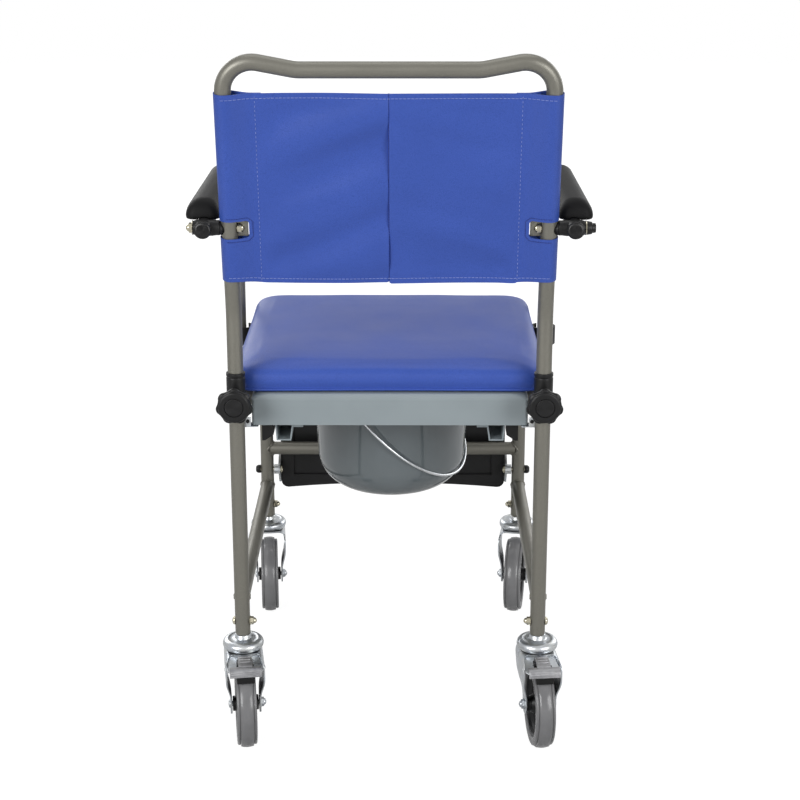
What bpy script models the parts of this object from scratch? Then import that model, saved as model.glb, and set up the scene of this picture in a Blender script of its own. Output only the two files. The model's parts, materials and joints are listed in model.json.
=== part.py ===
"""Wheeled commode chair: a tube frame on four swivel casters, with a padded seat over a sliding pail,
a lift-off backrest with push handle, flip-up armrests and a folding footrest.

Metres, +Z up. The chair faces -Y, its left side is at +X, and the origin lies on the floor below the
middle of its box. Along the chair, places are written as a distance forward of the rear legs' axes.
"""

import math

import bmesh
import bpy
from mathutils import Matrix, Vector

# Clearances
GAP = 0.0003
RUN_GAP = 0.0004
SWING_GAP = 0.0010

# Frame tubes
LEG_SPACING_Y = 0.460
TUBE_D = 0.022
TUBE_WALL = 0.0015
TUBE_SIDES = 12
RAIL_BOARD_GAP = 0.0085
BEND_STEPS = 5
STRETCHER_ABOVE_BASE = 0.0557
FRONT_CROSS_ABOVE_BASE = 0.1212
RAIL_ABOVE_BASE = 0.3352
FRONT_BEND_R = 0.060
SEAT_CROSS_D = 0.020
SEAT_CROSS_INSET_REAR = 0.050
SEAT_CROSS_INSET_FRONT = 0.050

# Casters
WHEEL_D = 0.127
TYRE_WIDTH = 0.0285
TYRE_RIB_WIDTH = 0.019
TYRE_STEP = 0.0036
TYRE_DEPTH = 0.016
CASTER_TRAIL = 0.0294
AXLE_D = 0.008
AXLE_HEAD_T = 0.0026
AXLE_NUT_LENGTH = 0.0070
HUB_BOSS_D = 0.022
HUB_BOSS_PROUD = 0.0045
HUB_WEB_T = 0.008
HUB_RIM_T = 0.007
FORK_PLATE_T = 0.0025
FORK_TOP_WIDTH = 0.057
FORK_AXLE_R = 0.015
CROWN_CLEARANCE = 0.0075
CROWN_T = 0.004
RACE_GAP = 0.0015
HEAD_D = 0.060
HEAD_H = 0.0145
STEM_COLLAR_D = 0.0235
STEM_COLLAR_H = 0.007
STEM_LENGTH = 0.042
YAW_DEG = {"rear_left": 8.0, "rear_right": 5.5, "front_left": 5.0, "front_right": -8.5}

# Caster brakes
PEDAL_T = 0.002
PEDAL_REACH = 0.070
PEDAL_WIDTH = 0.046
TONGUE_WIDTH = 0.022
SHOE_WIDTH = 0.024
SHOE_CLEARANCE = 0.0030

# Seat board, pail runners and pail
BOARD_FRONT = 0.450
BOARD_H = 0.0455
BOARD_PLATE_T = 0.006
BOARD_SKIRT_T = 0.004
BOARD_EDGE_R = 0.008
BOARD_CORNER_R = 0.005
BOARD_TOP_CORNER_R = 0.018
APERTURE_WIDTH = 0.220
APERTURE_LENGTH = 0.270
APERTURE_LIP = 0.012
PAIL_CENTRE = 0.235
PAIL_RIM_D = 0.264
PAIL_MOUTH_D = 0.244
PAIL_WAIST_D = 0.228
PAIL_H = 0.161
PAIL_WALL = 0.003
PAIL_RIM_T = 0.004
PAIL_BASE_FLAT_R = 0.062
PAIL_BOWL_SHARE = 0.325
PAIL_TOP_GAP = 0.0035
PAIL_SIDE_GAP = 0.0025
RUNNER_WALL = 0.002
RUNNER_TOP_WIDTH = 0.032
RUNNER_BASE_WIDTH = 0.021
RUNNER_DEPTH = 0.050
RUNNER_START = 0.035
RUNNER_END = 0.400
RUNNER_LEDGE = 0.0075
LEDGE_T = 0.003
CLIP_WIDTH = 0.0165
CLIP_H = 0.050
CLIP_LENGTH = 0.030
CLIP_CHAMFER_DEG = 35.0
CLIP_SKIRT_GAP = 0.0082
BAIL_D = 0.004
BAIL_DROP = 0.166
BAIL_AZIMUTH_DEG = 63.5
BAIL_LEAN_DEG = 43.0
EAR_D = 0.0084
EAR_PROUD = 0.0025
EAR_BELOW_LEDGE = 0.0045

# Cushion
CUSHION_WIDTH = 0.444
CUSHION_FRONT = 0.455
CUSHION_REAR = 0.0150
CUSHION_SIDE_H = 0.036
CUSHION_CROWN = 0.012
CUSHION_CORNER_R = 0.036
CUSHION_DRAW_IN = 0.004

# Backrest, push handle and its clamps
SPIGOT_LENGTH = 0.058
LEG_TOP_ABOVE_RAIL = 0.051
COLLAR_D = 0.0265
COLLAR_ABOVE_JOINT = 0.012
KNOB_ABOVE_RAIL = 0.021
KNOB_D = 0.052
KNOB_FACE_D = 0.046
KNOB_T = 0.015
KNOB_LOBES = 7
KNOB_LOBE_DEPTH = 0.0012
KNOB_BOSS_D = 0.020
KNOB_STANDOFF = 0.0085
STUD_D = 0.008
BACK_STRAIGHT = 0.097
BACK_LEAN_DEG = 10.75
LEAN_BEND_R = 0.150
BACK_RISE = 0.352
HANDLE_CORNER_R = 0.043
HANDLE_DIP_R = 0.060
HANDLE_DIP = 0.0115
HANDLE_MIDDLE = 0.240
SLING_BELOW_HANDLE = 0.044
SLING_HEIGHT = 0.2590
SLING_CLOTH_T = 0.0014
SLING_PANEL_T = 0.005
SLING_SLEEVE = 0.045
SLING_WINDOW_H = 0.025
SLING_WINDOW_W = 0.020

# Armrests
ARM_ABOVE_BOARD = 0.247
ARM_OUTSET = 0.0345
ARM_TUBE_D = 0.016
ARM_BEND_R = 0.065
ARM_POST_AT = 0.430
ARM_FOOT_CLEARANCE = 0.005
ARM_JOINT_D = 0.024
ARM_JOINT_REAR = 0.021
ARM_JOINT_FRONT = 0.043
ARM_PIVOT_SLEEVE_D = 0.0205
ARM_SLEEVE_PROUD = 0.0020
PAD_LENGTH = 0.300
PAD_WIDTH = 0.047
PAD_OUTSET = 0.003
PAD_H = 0.028
PAD_REAR = -0.015
SOCKET_D = 0.040
SOCKET_WALL = 0.003
SOCKET_H = 0.030
SOCKET_TOP_ABOVE_RAIL = 0.012
SOCKET_SLOT_W = 0.020
PIVOT_BOLT_D = 0.008
PIVOT_NUT_D = 0.013
PIVOT_HEAD_T = 0.004
PIVOT_NUT_LENGTH = 0.0085

# Footrest, shown folded up
FOOT_PIVOT_ABOVE_BASE = 0.0832
TRAY_DEPTH = 0.170
TRAY_T = 0.012
TRAY_RECESS = 0.004
TRAY_BORDER = 0.022
TRAY_BELOW_PIVOT = 0.039
TRAY_AHEAD = 0.016
TRAY_HEEL_ARCH = 0.008
TRAY_CORNER_R = 0.012
TRAY_TOP_CORNER_R = 0.030
FOOT_ARM_T = 0.0035
FOOT_BOSS_D = 0.017
FOOT_BOSS_LENGTH = 0.0067
FOOT_CAP_D = 0.014
FOOT_CAP_T = 0.008
FOOT_NUT_D = 0.012
FOOT_NUT_T = 0.0045

# Sizes that follow from the ones above
TUBE_R = TUBE_D / 2
RUNNER_INNER_X = PAIL_RIM_D / 2 + PAIL_SIDE_GAP
CLIP_INNER_X = RUNNER_INNER_X + RUNNER_TOP_WIDTH + GAP
BOARD_WIDTH = 2 * (CLIP_INNER_X + CLIP_WIDTH + CLIP_SKIRT_GAP + BOARD_SKIRT_T)
LEG_SPACING_X = BOARD_WIDTH + 2 * RAIL_BOARD_GAP + TUBE_D
HALF_X = LEG_SPACING_X / 2
TRAY_WIDTH = LEG_SPACING_X - TUBE_D - 2 * (SWING_GAP + FOOT_BOSS_LENGTH + FOOT_ARM_T + GAP)
WHEEL_R = WHEEL_D / 2
CROWN_BASE_Z = WHEEL_D + CROWN_CLEARANCE
CROWN_TOP_Z = CROWN_BASE_Z + CROWN_T
HEAD_BASE_Z = CROWN_TOP_Z + RACE_GAP
HEAD_TOP_Z = HEAD_BASE_Z + HEAD_H
LEG_BASE_Z = HEAD_TOP_Z + STEM_COLLAR_H + GAP
STRETCHER_Z = LEG_BASE_Z + STRETCHER_ABOVE_BASE
FRONT_CROSS_Z = LEG_BASE_Z + FRONT_CROSS_ABOVE_BASE
FOOT_PIVOT_Z = LEG_BASE_Z + FOOT_PIVOT_ABOVE_BASE
RAIL_Z = LEG_BASE_Z + RAIL_ABOVE_BASE
LEG_TOP_Z = RAIL_Z + LEG_TOP_ABOVE_RAIL
KNOB_Z = RAIL_Z + KNOB_ABOVE_RAIL
BORE_R = (TUBE_R - TUBE_WALL) * math.cos(math.pi / TUBE_SIDES)
HUB_BOSS_HALF = TYRE_WIDTH / 2 + HUB_BOSS_PROUD
CROSS_R = SEAT_CROSS_D / 2
BOARD_TOP_Z = RAIL_Z + SEAT_CROSS_D + BOARD_PLATE_T
BOARD_BASE_Z = BOARD_TOP_Z - BOARD_H
SEAT_CROSS_Z = BOARD_TOP_Z - BOARD_PLATE_T - GAP - CROSS_R
BOARD_REAR = TUBE_R + SWING_GAP
RUNNER_TOP_Z = SEAT_CROSS_Z - CROSS_R - GAP
PAIL_TOP_Z = BOARD_BASE_Z - PAIL_TOP_GAP
LEDGE_TOP_Z = PAIL_TOP_Z - PAIL_RIM_T - GAP
EAR_Z = LEDGE_TOP_Z - EAR_BELOW_LEDGE
CUSHION_BASE_Z = BOARD_TOP_Z + GAP
LEAN_START_Z = LEG_TOP_Z + BACK_STRAIGHT
LEAN = math.radians(BACK_LEAN_DEG)
HUMP_Z = LEAN_START_Z + BACK_RISE
ARM_Z = BOARD_TOP_Z + ARM_ABOVE_BOARD
ARM_X = HALF_X + ARM_OUTSET
ARM_PIVOT_AT = -(ARM_Z - LEAN_START_Z) * math.tan(LEAN)
SOCKET_TOP_Z = RAIL_Z + SOCKET_TOP_ABOVE_RAIL
SOCKET_BASE_Z = SOCKET_TOP_Z - SOCKET_H
ARM_FOOT_Z = SOCKET_BASE_Z + SOCKET_WALL + ARM_FOOT_CLEARANCE


def tyre_reach(yaw_deg, ahead):
    """How far a caster's tyre reaches behind its swivel axis, or ahead of it."""
    yaw = math.radians(yaw_deg)
    disc = WHEEL_R * math.cos(yaw) + TYRE_RIB_WIDTH / 2 * math.sin(yaw)
    trail = CASTER_TRAIL * math.cos(yaw)
    return disc - trail if ahead else disc + trail


def frame_middle():
    """Where the rear legs stand, with the tyres' outermost points even about the middle."""
    front = max(tyre_reach(abs(YAW_DEG["front_" + side]), True) for side in ("left", "right"))
    rear = max(tyre_reach(abs(YAW_DEG["rear_" + side]), False) for side in ("left", "right"))
    return (LEG_SPACING_Y + front - rear) / 2


REAR_Y = frame_middle()

# Colours and finishes: base colour, roughness, metallic
FINISHES = {
    "tube_paint": ((0.42, 0.39, 0.34), 0.38, 0.6),
    "zinc": ((0.62, 0.63, 0.64), 0.25, 1.0),
    "seat_plastic": ((0.36, 0.41, 0.44), 0.40, 0.0),
    "pail_plastic": ((0.40, 0.44, 0.46), 0.22, 0.0),
    "black_plastic": ((0.015, 0.015, 0.015), 0.45, 0.0),
    "pad_foam": ((0.012, 0.012, 0.012), 0.60, 0.0),
    "vinyl": ((0.06, 0.10, 0.42), 0.42, 0.0),
    "grey_tyre": ((0.20, 0.20, 0.20), 0.55, 0.0),
    "hub_plastic": ((0.010, 0.010, 0.010), 0.50, 0.0),
    "steel_wire": ((0.60, 0.61, 0.63), 0.22, 1.0),
}


def clear_scene():
    for old in list(bpy.data.objects):
        bpy.data.objects.remove(old, do_unlink=True)


def material(finish):
    found = bpy.data.materials.get(finish)
    if found:
        return found
    colour, roughness, metallic = FINISHES[finish]
    made = bpy.data.materials.new(finish)
    made.use_nodes = True
    shader = made.node_tree.nodes["Principled BSDF"]
    shader.inputs["Base Color"].default_value = (*colour, 1.0)
    shader.inputs["Roughness"].default_value = roughness
    shader.inputs["Metallic"].default_value = metallic
    made.diffuse_color = (*colour, 1.0)
    return made


def place(forward, x=0.0, z=0.0):
    """World point at a distance forward of the rear legs."""
    return Vector((x, REAR_Y - forward, z))


def new_object(name, bm, finish=None, location=(0, 0, 0), smooth_deg=35):
    """An object from a bmesh whose points are relative to its origin."""
    bmesh.ops.remove_doubles(bm, verts=bm.verts, dist=1e-7)
    bmesh.ops.recalc_face_normals(bm, faces=bm.faces)
    mesh = bpy.data.meshes.new(name)
    bm.to_mesh(mesh)
    bm.free()
    mesh.shade_smooth()
    mesh.set_sharp_from_angle(angle=math.radians(smooth_deg))
    obj = bpy.data.objects.new(name, mesh)
    bpy.context.scene.collection.objects.link(obj)
    obj.location = location
    if finish:
        mesh.materials.append(material(finish))
    return obj


def as_cutter(obj):
    obj.hide_render = True
    obj.display_type = "WIRE"
    return obj


def boolean(obj, other, operation):
    modifier = obj.modifiers.new(operation.lower(), "BOOLEAN")
    modifier.operation = operation
    modifier.object = as_cutter(other)
    return obj


def cut(obj, *others):
    for other in others:
        boolean(obj, other, "DIFFERENCE")
    return obj


def join(obj, *others):
    for other in others:
        boolean(obj, other, "UNION")
    return obj


def ring_of(bm, centre, side, up, radius, sides):
    turn = 2 * math.pi / sides
    return [
        bm.verts.new(
            centre
            + side * (radius * math.cos(turn * (i + 0.5)))
            + up * (radius * math.sin(turn * (i + 0.5)))
        )
        for i in range(sides)
    ]


def skin(bm, first, second):
    count = len(first)
    for i in range(count):
        j = (i + 1) % count
        bm.faces.new((first[i], first[j], second[j], second[i]))


def filleted(corners, radii):
    """The corners joined by straight runs, with each inner corner rounded to its radius."""
    corners = [Vector(corner) for corner in corners]
    points = [corners[0]]
    for before, corner, after, radius in zip(corners, corners[1:], corners[2:], radii):
        back = (before - corner).normalized()
        ahead = (after - corner).normalized()
        turn = math.pi - back.angle(ahead)
        reach = radius * math.tan(turn / 2)
        middle = (back + ahead).normalized()
        centre = corner + middle * (radius / math.cos(turn / 2))
        start = corner + back * reach - centre
        axis = start.cross(corner + ahead * reach - centre).normalized()
        steps = max(2, round(BEND_STEPS * turn / (math.pi / 2)))
        for i in range(steps + 1):
            points.append(centre + Matrix.Rotation(turn * i / steps, 3, axis) @ start)
    points.append(corners[-1])
    return points


def tube(name, path, diameter, finish=None, wall=0.0, sides=TUBE_SIDES, taper=None):
    """A round tube along a path, open at both ends where it has a wall. Taper gives a radius per point."""
    bm = bmesh.new()
    path = [Vector(point) for point in path]
    tangents = []
    for i, point in enumerate(path):
        ahead = path[min(i + 1, len(path) - 1)] - point
        behind = point - path[max(i - 1, 0)]
        tangents.append((ahead.normalized() + behind.normalized()).normalized())
    side = tangents[0].orthogonal().normalized()
    outer, inner = [], []
    for i, (point, tangent) in enumerate(zip(path, tangents)):
        side = (side - tangent * side.dot(tangent)).normalized()
        up = tangent.cross(side)
        radius = taper[i] if taper else diameter / 2
        outer.append(ring_of(bm, point, side, up, radius, sides))
        if wall:
            inner.append(ring_of(bm, point, side, up, radius - wall, sides))
    for rings in (outer, inner):
        for first, second in zip(rings, rings[1:]):
            skin(bm, first, second)
    if wall:
        skin(bm, outer[0], inner[0])
        skin(bm, outer[-1], inner[-1])
    else:
        bm.faces.new(outer[0])
        bm.faces.new(outer[-1])
    return new_object(name, bm, finish)


def rod(name, start, end, diameter, sides=TUBE_SIDES, finish=None):
    return tube(name, [start, end], diameter, finish, sides=sides)


def turned(name, profile, finish=None, steps=24, axis="Z", location=(0, 0, 0), smooth_deg=35):
    """A turned piece from (radius, height) points, closed on its axis or round a bore."""
    bm = bmesh.new()
    rings = []
    for radius, height in profile:
        count = 1 if radius < 1e-6 else steps
        rings.append(
            [
                bm.verts.new(
                    (
                        radius * math.cos(2 * math.pi * i / steps),
                        radius * math.sin(2 * math.pi * i / steps),
                        height,
                    )
                )
                for i in range(count)
            ]
        )
    closed = profile[0][0] > 1e-6
    pairs = list(zip(rings, rings[1:])) + ([(rings[-1], rings[0])] if closed else [])
    for first, second in pairs:
        for i in range(steps):
            j = (i + 1) % steps
            if len(first) == 1 and len(second) > 1:
                bm.faces.new((first[0], second[j], second[i]))
            elif len(second) == 1 and len(first) > 1:
                bm.faces.new((first[i], first[j], second[0]))
            elif len(first) > 1:
                bm.faces.new((first[i], first[j], second[j], second[i]))
    turns = {
        "Z": Matrix.Identity(3),
        "X": Matrix.Rotation(math.pi / 2, 3, "Y"),
        "Y": Matrix.Rotation(math.pi / 2, 3, "X"),
    }
    bmesh.ops.transform(bm, matrix=turns[axis].to_4x4(), verts=bm.verts)
    return new_object(name, bm, finish, location, smooth_deg)


def plate(name, outline, thickness, plane, finish=None, location=(0, 0, 0), smooth_deg=35):
    """A flat outline given thickness. Plane "XY" rises along Z, "YZ" runs along X and "XZ" along Y."""
    bm = bmesh.new()
    spread = {
        "XY": lambda a, b, c: (a, b, c),
        "YZ": lambda a, b, c: (c, a, b),
        "XZ": lambda a, b, c: (a, c, b),
    }[plane]
    low = [bm.verts.new(spread(a, b, 0.0)) for a, b in outline]
    high = [bm.verts.new(spread(a, b, thickness)) for a, b in outline]
    skin(bm, low, high)
    bm.faces.new(low)
    bm.faces.new(high)
    return new_object(name, bm, finish, location, smooth_deg)


def block(name, low, high, finish=None):
    low, high = Vector(low), Vector(high)
    bm = bmesh.new()
    bmesh.ops.create_cube(bm, size=1.0)
    bmesh.ops.scale(bm, vec=high - low, verts=bm.verts)
    bmesh.ops.translate(bm, vec=(low + high) / 2, verts=bm.verts)
    return new_object(name, bm, finish)


def arc(centre, radius, start_deg, end_deg, steps):
    """Points on a circle in a plane, from one angle to another."""
    span = end_deg - start_deg
    return [
        (
            centre[0] + radius * math.cos(math.radians(start_deg + span * i / steps)),
            centre[1] + radius * math.sin(math.radians(start_deg + span * i / steps)),
        )
        for i in range(steps + 1)
    ]


def rounded_rectangle(half_a, half_b, radius, steps=5, inset=0.0, centre=(0.0, 0.0)):
    a, b, r = half_a - inset, half_b - inset, max(radius - inset, 0.001)
    points = []
    for sign_a, sign_b, start in ((1, 1, 0), (-1, 1, 90), (-1, -1, 180), (1, -1, 270)):
        middle = (centre[0] + sign_a * (a - r), centre[1] + sign_b * (b - r))
        points += arc(middle, r, start, start + 90, steps)
    return points


def stacked(name, loops, finish, location=(0, 0, 0), smooth_deg=35):
    """A closed form skinned over loops of equal point count, capped at both ends."""
    bm = bmesh.new()
    rings = [[bm.verts.new(point) for point in loop] for loop in loops]
    for first, second in zip(rings, rings[1:]):
        skin(bm, first, second)
    bm.faces.new(rings[0])
    bm.faces.new(rings[-1])
    return new_object(name, bm, finish, location, smooth_deg)


SIDES = (("left", 1), ("right", -1))


def leg_cutter(name, x, forward):
    """The space of an upright leg, for the pieces that are coped round it."""
    return rod(
        name,
        place(forward, x, LEG_BASE_Z - TUBE_D),
        place(forward, x, LEG_TOP_Z + TUBE_D),
        TUBE_D + 2 * GAP,
    )


def cross_hole(name, centre, diameter, length):
    half = Vector((length / 2, 0, 0))
    return rod(name, Vector(centre) - half, Vector(centre) + half, diameter)


def make_legs():
    for side, sign in SIDES:
        x = sign * HALF_X
        tube(
            f"rear_leg_{side}",
            [place(0, x, LEG_BASE_Z), place(0, x, LEG_TOP_Z)],
            TUBE_D,
            "tube_paint",
            wall=TUBE_WALL,
        )
        corners = [
            place(LEG_SPACING_Y, x, LEG_BASE_Z),
            place(LEG_SPACING_Y, x, RAIL_Z),
            place(0, x, RAIL_Z),
        ]
        front = tube(
            f"front_leg_{side}",
            filleted(corners, [FRONT_BEND_R]),
            TUBE_D,
            "tube_paint",
            wall=TUBE_WALL,
        )
        hole = cross_hole(
            f"cut_foot_pivot_{side}",
            place(LEG_SPACING_Y, x, FOOT_PIVOT_Z),
            PIVOT_BOLT_D + 2 * RUN_GAP,
            2 * TUBE_D,
        )
        cut(front, leg_cutter(f"cope_rail_{side}", x, 0), hole)
        low_rail = tube(
            f"side_stretcher_{side}",
            [place(0, x, STRETCHER_Z), place(LEG_SPACING_Y, x, STRETCHER_Z)],
            TUBE_D,
            "tube_paint",
            wall=TUBE_WALL,
        )
        cut(
            low_rail,
            leg_cutter(f"cope_stretcher_rear_{side}", x, 0),
            leg_cutter(f"cope_stretcher_front_{side}", x, LEG_SPACING_Y),
        )


def make_cross_tubes():
    front = tube(
        "front_cross_tube",
        [place(LEG_SPACING_Y, -HALF_X, FRONT_CROSS_Z), place(LEG_SPACING_Y, HALF_X, FRONT_CROSS_Z)],
        TUBE_D,
        "tube_paint",
        wall=TUBE_WALL,
    )
    for side, sign in SIDES:
        cut(front, leg_cutter(f"cope_cross_{side}", sign * HALF_X, LEG_SPACING_Y))
    for end, forward in (
        ("rear", SEAT_CROSS_INSET_REAR),
        ("front", BOARD_FRONT - SEAT_CROSS_INSET_FRONT),
    ):
        cross = tube(
            f"seat_cross_tube_{end}",
            [place(forward, -HALF_X, SEAT_CROSS_Z), place(forward, HALF_X, SEAT_CROSS_Z)],
            SEAT_CROSS_D,
            "tube_paint",
            wall=TUBE_WALL,
        )
        for side, sign in SIDES:
            rail = rod(
                f"cope_seat_{end}_{side}",
                place(-TUBE_D, sign * HALF_X, RAIL_Z),
                place(LEG_SPACING_Y, sign * HALF_X, RAIL_Z),
                TUBE_D + 2 * GAP,
            )
            cut(cross, rail)


def make_caster_head(corner, x, forward):
    """Stem, stem collar and the domed cover over the swivel race, fixed in the leg."""
    stem_r = BORE_R - GAP
    head_r = HEAD_D / 2
    profile = [
        (0, HEAD_BASE_Z),
        (head_r * 0.90, HEAD_BASE_Z),
        (head_r * 0.98, HEAD_BASE_Z + HEAD_H * 0.22),
        (head_r, HEAD_BASE_Z + HEAD_H * 0.48),
        (head_r * 0.95, HEAD_BASE_Z + HEAD_H * 0.76),
        (head_r * 0.84, HEAD_BASE_Z + HEAD_H * 0.95),
        (head_r * 0.72, HEAD_TOP_Z),
        (STEM_COLLAR_D / 2, HEAD_TOP_Z),
        (STEM_COLLAR_D / 2, HEAD_TOP_Z + STEM_COLLAR_H),
        (stem_r, HEAD_TOP_Z + STEM_COLLAR_H),
        (stem_r, HEAD_TOP_Z + STEM_LENGTH),
        (0, HEAD_TOP_Z + STEM_LENGTH),
    ]
    turned(f"caster_head_{corner}", profile, "zinc", 20, location=place(forward, x))


def fork_inner_x():
    return max(TYRE_WIDTH / 2, HUB_BOSS_HALF) + SWING_GAP


def fork_side(name, sign):
    """Side plate of the fork, from rows of height, front edge, rear edge and share out to the crown."""
    crown_r = FORK_TOP_WIDTH / 2
    lug_r = FORK_AXLE_R
    trail = CASTER_TRAIL
    span = CROWN_TOP_Z - WHEEL_R
    rows = [
        (WHEEL_R - lug_r, trail - lug_r * 0.35, trail + lug_r * 0.35, 0.0),
        (WHEEL_R - lug_r * 0.80, trail - lug_r * 0.72, trail + lug_r * 0.72, 0.0),
        (WHEEL_R - lug_r * 0.40, trail - lug_r * 0.95, trail + lug_r * 0.95, 0.0),
        (WHEEL_R + lug_r * 0.60, trail - lug_r * 1.05, trail + lug_r, 0.0),
        (WHEEL_R + span * 0.30, trail - lug_r * 1.45, trail + lug_r * 0.90, 0.15),
        (WHEEL_R + span * 0.48, -crown_r * 0.40, crown_r * 1.42, 0.75),
        (WHEEL_R + span * 0.64, -crown_r * 0.62, crown_r * 1.22, 1.0),
        (CROWN_BASE_Z - CROWN_T, -crown_r * 0.72, crown_r * 0.95, 1.0),
        (CROWN_TOP_Z - CROWN_T / 2, -crown_r * 0.52, crown_r * 0.60, 1.0),
    ]
    inner = fork_inner_x()
    spread = crown_r - FORK_PLATE_T - inner
    loops = []
    for z, front, rear, share in rows:
        near = sign * (inner + spread * share)
        far = near + sign * FORK_PLATE_T
        loops.append([(near, front, z), (near, rear, z), (far, rear, z), (far, front, z)])
    return stacked(name, loops, None)


def make_fork(corner, x, forward, yaw):
    """Crown plate with two side plates that draw in towards the axle."""
    crown_r = FORK_TOP_WIDTH / 2
    crown_outline = rounded_rectangle(crown_r, crown_r * 0.88, crown_r * 0.55, steps=3)
    fork = plate(f"fork_{corner}", crown_outline, CROWN_T, "XY", "zinc")
    fork.data.transform(Matrix.Translation((0, 0, CROWN_BASE_Z)))
    plates = [fork_side(f"fork_side_{corner}_{tag}", sign) for tag, sign in (("a", 1), ("b", -1))]
    join(fork, *plates)
    hole = cross_hole(
        f"cut_axle_{corner}",
        (0, CASTER_TRAIL, WHEEL_R),
        AXLE_D + 2 * RUN_GAP,
        2 * FORK_TOP_WIDTH,
    )
    cut(fork, hole)
    for piece in (fork, hole, *plates):
        settle(piece, x, forward, yaw)


def settle(obj, x, forward, yaw):
    """Turns a caster piece about its swivel axis and stands it under its leg."""
    turn = Matrix.Rotation(yaw, 4, "Z")
    obj.matrix_basis = Matrix.Translation(place(forward, x)) @ turn @ obj.matrix_basis


def make_wheel(corner, x, forward, yaw):
    half = TYRE_WIDTH / 2
    rib = TYRE_RIB_WIDTH / 2
    shoulder_r = WHEEL_R - TYRE_STEP
    seat_r = WHEEL_R - TYRE_DEPTH
    tyre_profile = [
        (seat_r, -half),
        (shoulder_r - 0.002, -half),
        (shoulder_r, -half * 0.86),
        (shoulder_r, -rib),
        (WHEEL_R, -rib * 0.86),
        (WHEEL_R, rib * 0.86),
        (shoulder_r, rib),
        (shoulder_r, half * 0.86),
        (shoulder_r - 0.002, half),
        (seat_r, half),
    ]
    centre = (0, CASTER_TRAIL, WHEEL_R)
    tyre = turned(f"tyre_{corner}", tyre_profile, "grey_tyre", 32, "X", centre)
    rim_r = seat_r - GAP
    bore_r = AXLE_D / 2 + RUN_GAP
    boss_r = HUB_BOSS_D / 2
    boss = HUB_BOSS_HALF
    web = HUB_WEB_T / 2
    hub_profile = [
        (bore_r, -boss),
        (boss_r, -boss),
        (boss_r, -web),
        (rim_r - HUB_RIM_T, -web),
        (rim_r - HUB_RIM_T, -half * 0.78),
        (rim_r, -half * 0.78),
        (rim_r, half * 0.78),
        (rim_r - HUB_RIM_T, half * 0.78),
        (rim_r - HUB_RIM_T, web),
        (boss_r, web),
        (boss_r, boss),
        (bore_r, boss),
    ]
    hub = turned(f"hub_{corner}", hub_profile, "hub_plastic", 16, "X", centre)
    shank_r = AXLE_D / 2
    nut_r = PIVOT_NUT_D / 2
    outer = fork_inner_x() + FORK_PLATE_T + GAP
    axle_profile = [
        (0, -outer - AXLE_HEAD_T),
        (nut_r * 0.75, -outer - AXLE_HEAD_T * 0.85),
        (nut_r, -outer - AXLE_HEAD_T * 0.3),
        (nut_r, -outer),
        (shank_r, -outer),
        (shank_r, outer),
        (nut_r, outer),
        (nut_r, outer + AXLE_NUT_LENGTH * 0.5),
        (nut_r * 0.72, outer + AXLE_NUT_LENGTH * 0.88),
        (0, outer + AXLE_NUT_LENGTH),
    ]
    if corner.endswith("left"):
        axle_profile = [(r, -h) for r, h in axle_profile]
    axle = turned(f"axle_{corner}", axle_profile, "zinc", 10, "X", centre)
    for piece in (tyre, hub, axle):
        settle(piece, x, forward, yaw)


def strip(name, points, thickness, width, finish=None):
    """A bent sheet strip: its side line in (behind the swivel axis, up), its width along the axle."""
    upper, lower = [], []
    for i, (a, b) in enumerate(points):
        before = points[max(i - 1, 0)]
        after = points[min(i + 1, len(points) - 1)]
        along = Vector((after[0] - before[0], after[1] - before[1])).normalized()
        normal = Vector((-along.y, along.x)) * (thickness / 2)
        upper.append((a + normal.x, b + normal.y))
        lower.append((a - normal.x, b - normal.y))
    made = plate(name, upper + lower[::-1], width, "YZ", finish)
    made.data.transform(Matrix.Translation((-width / 2, 0, 0)))
    return made


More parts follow.
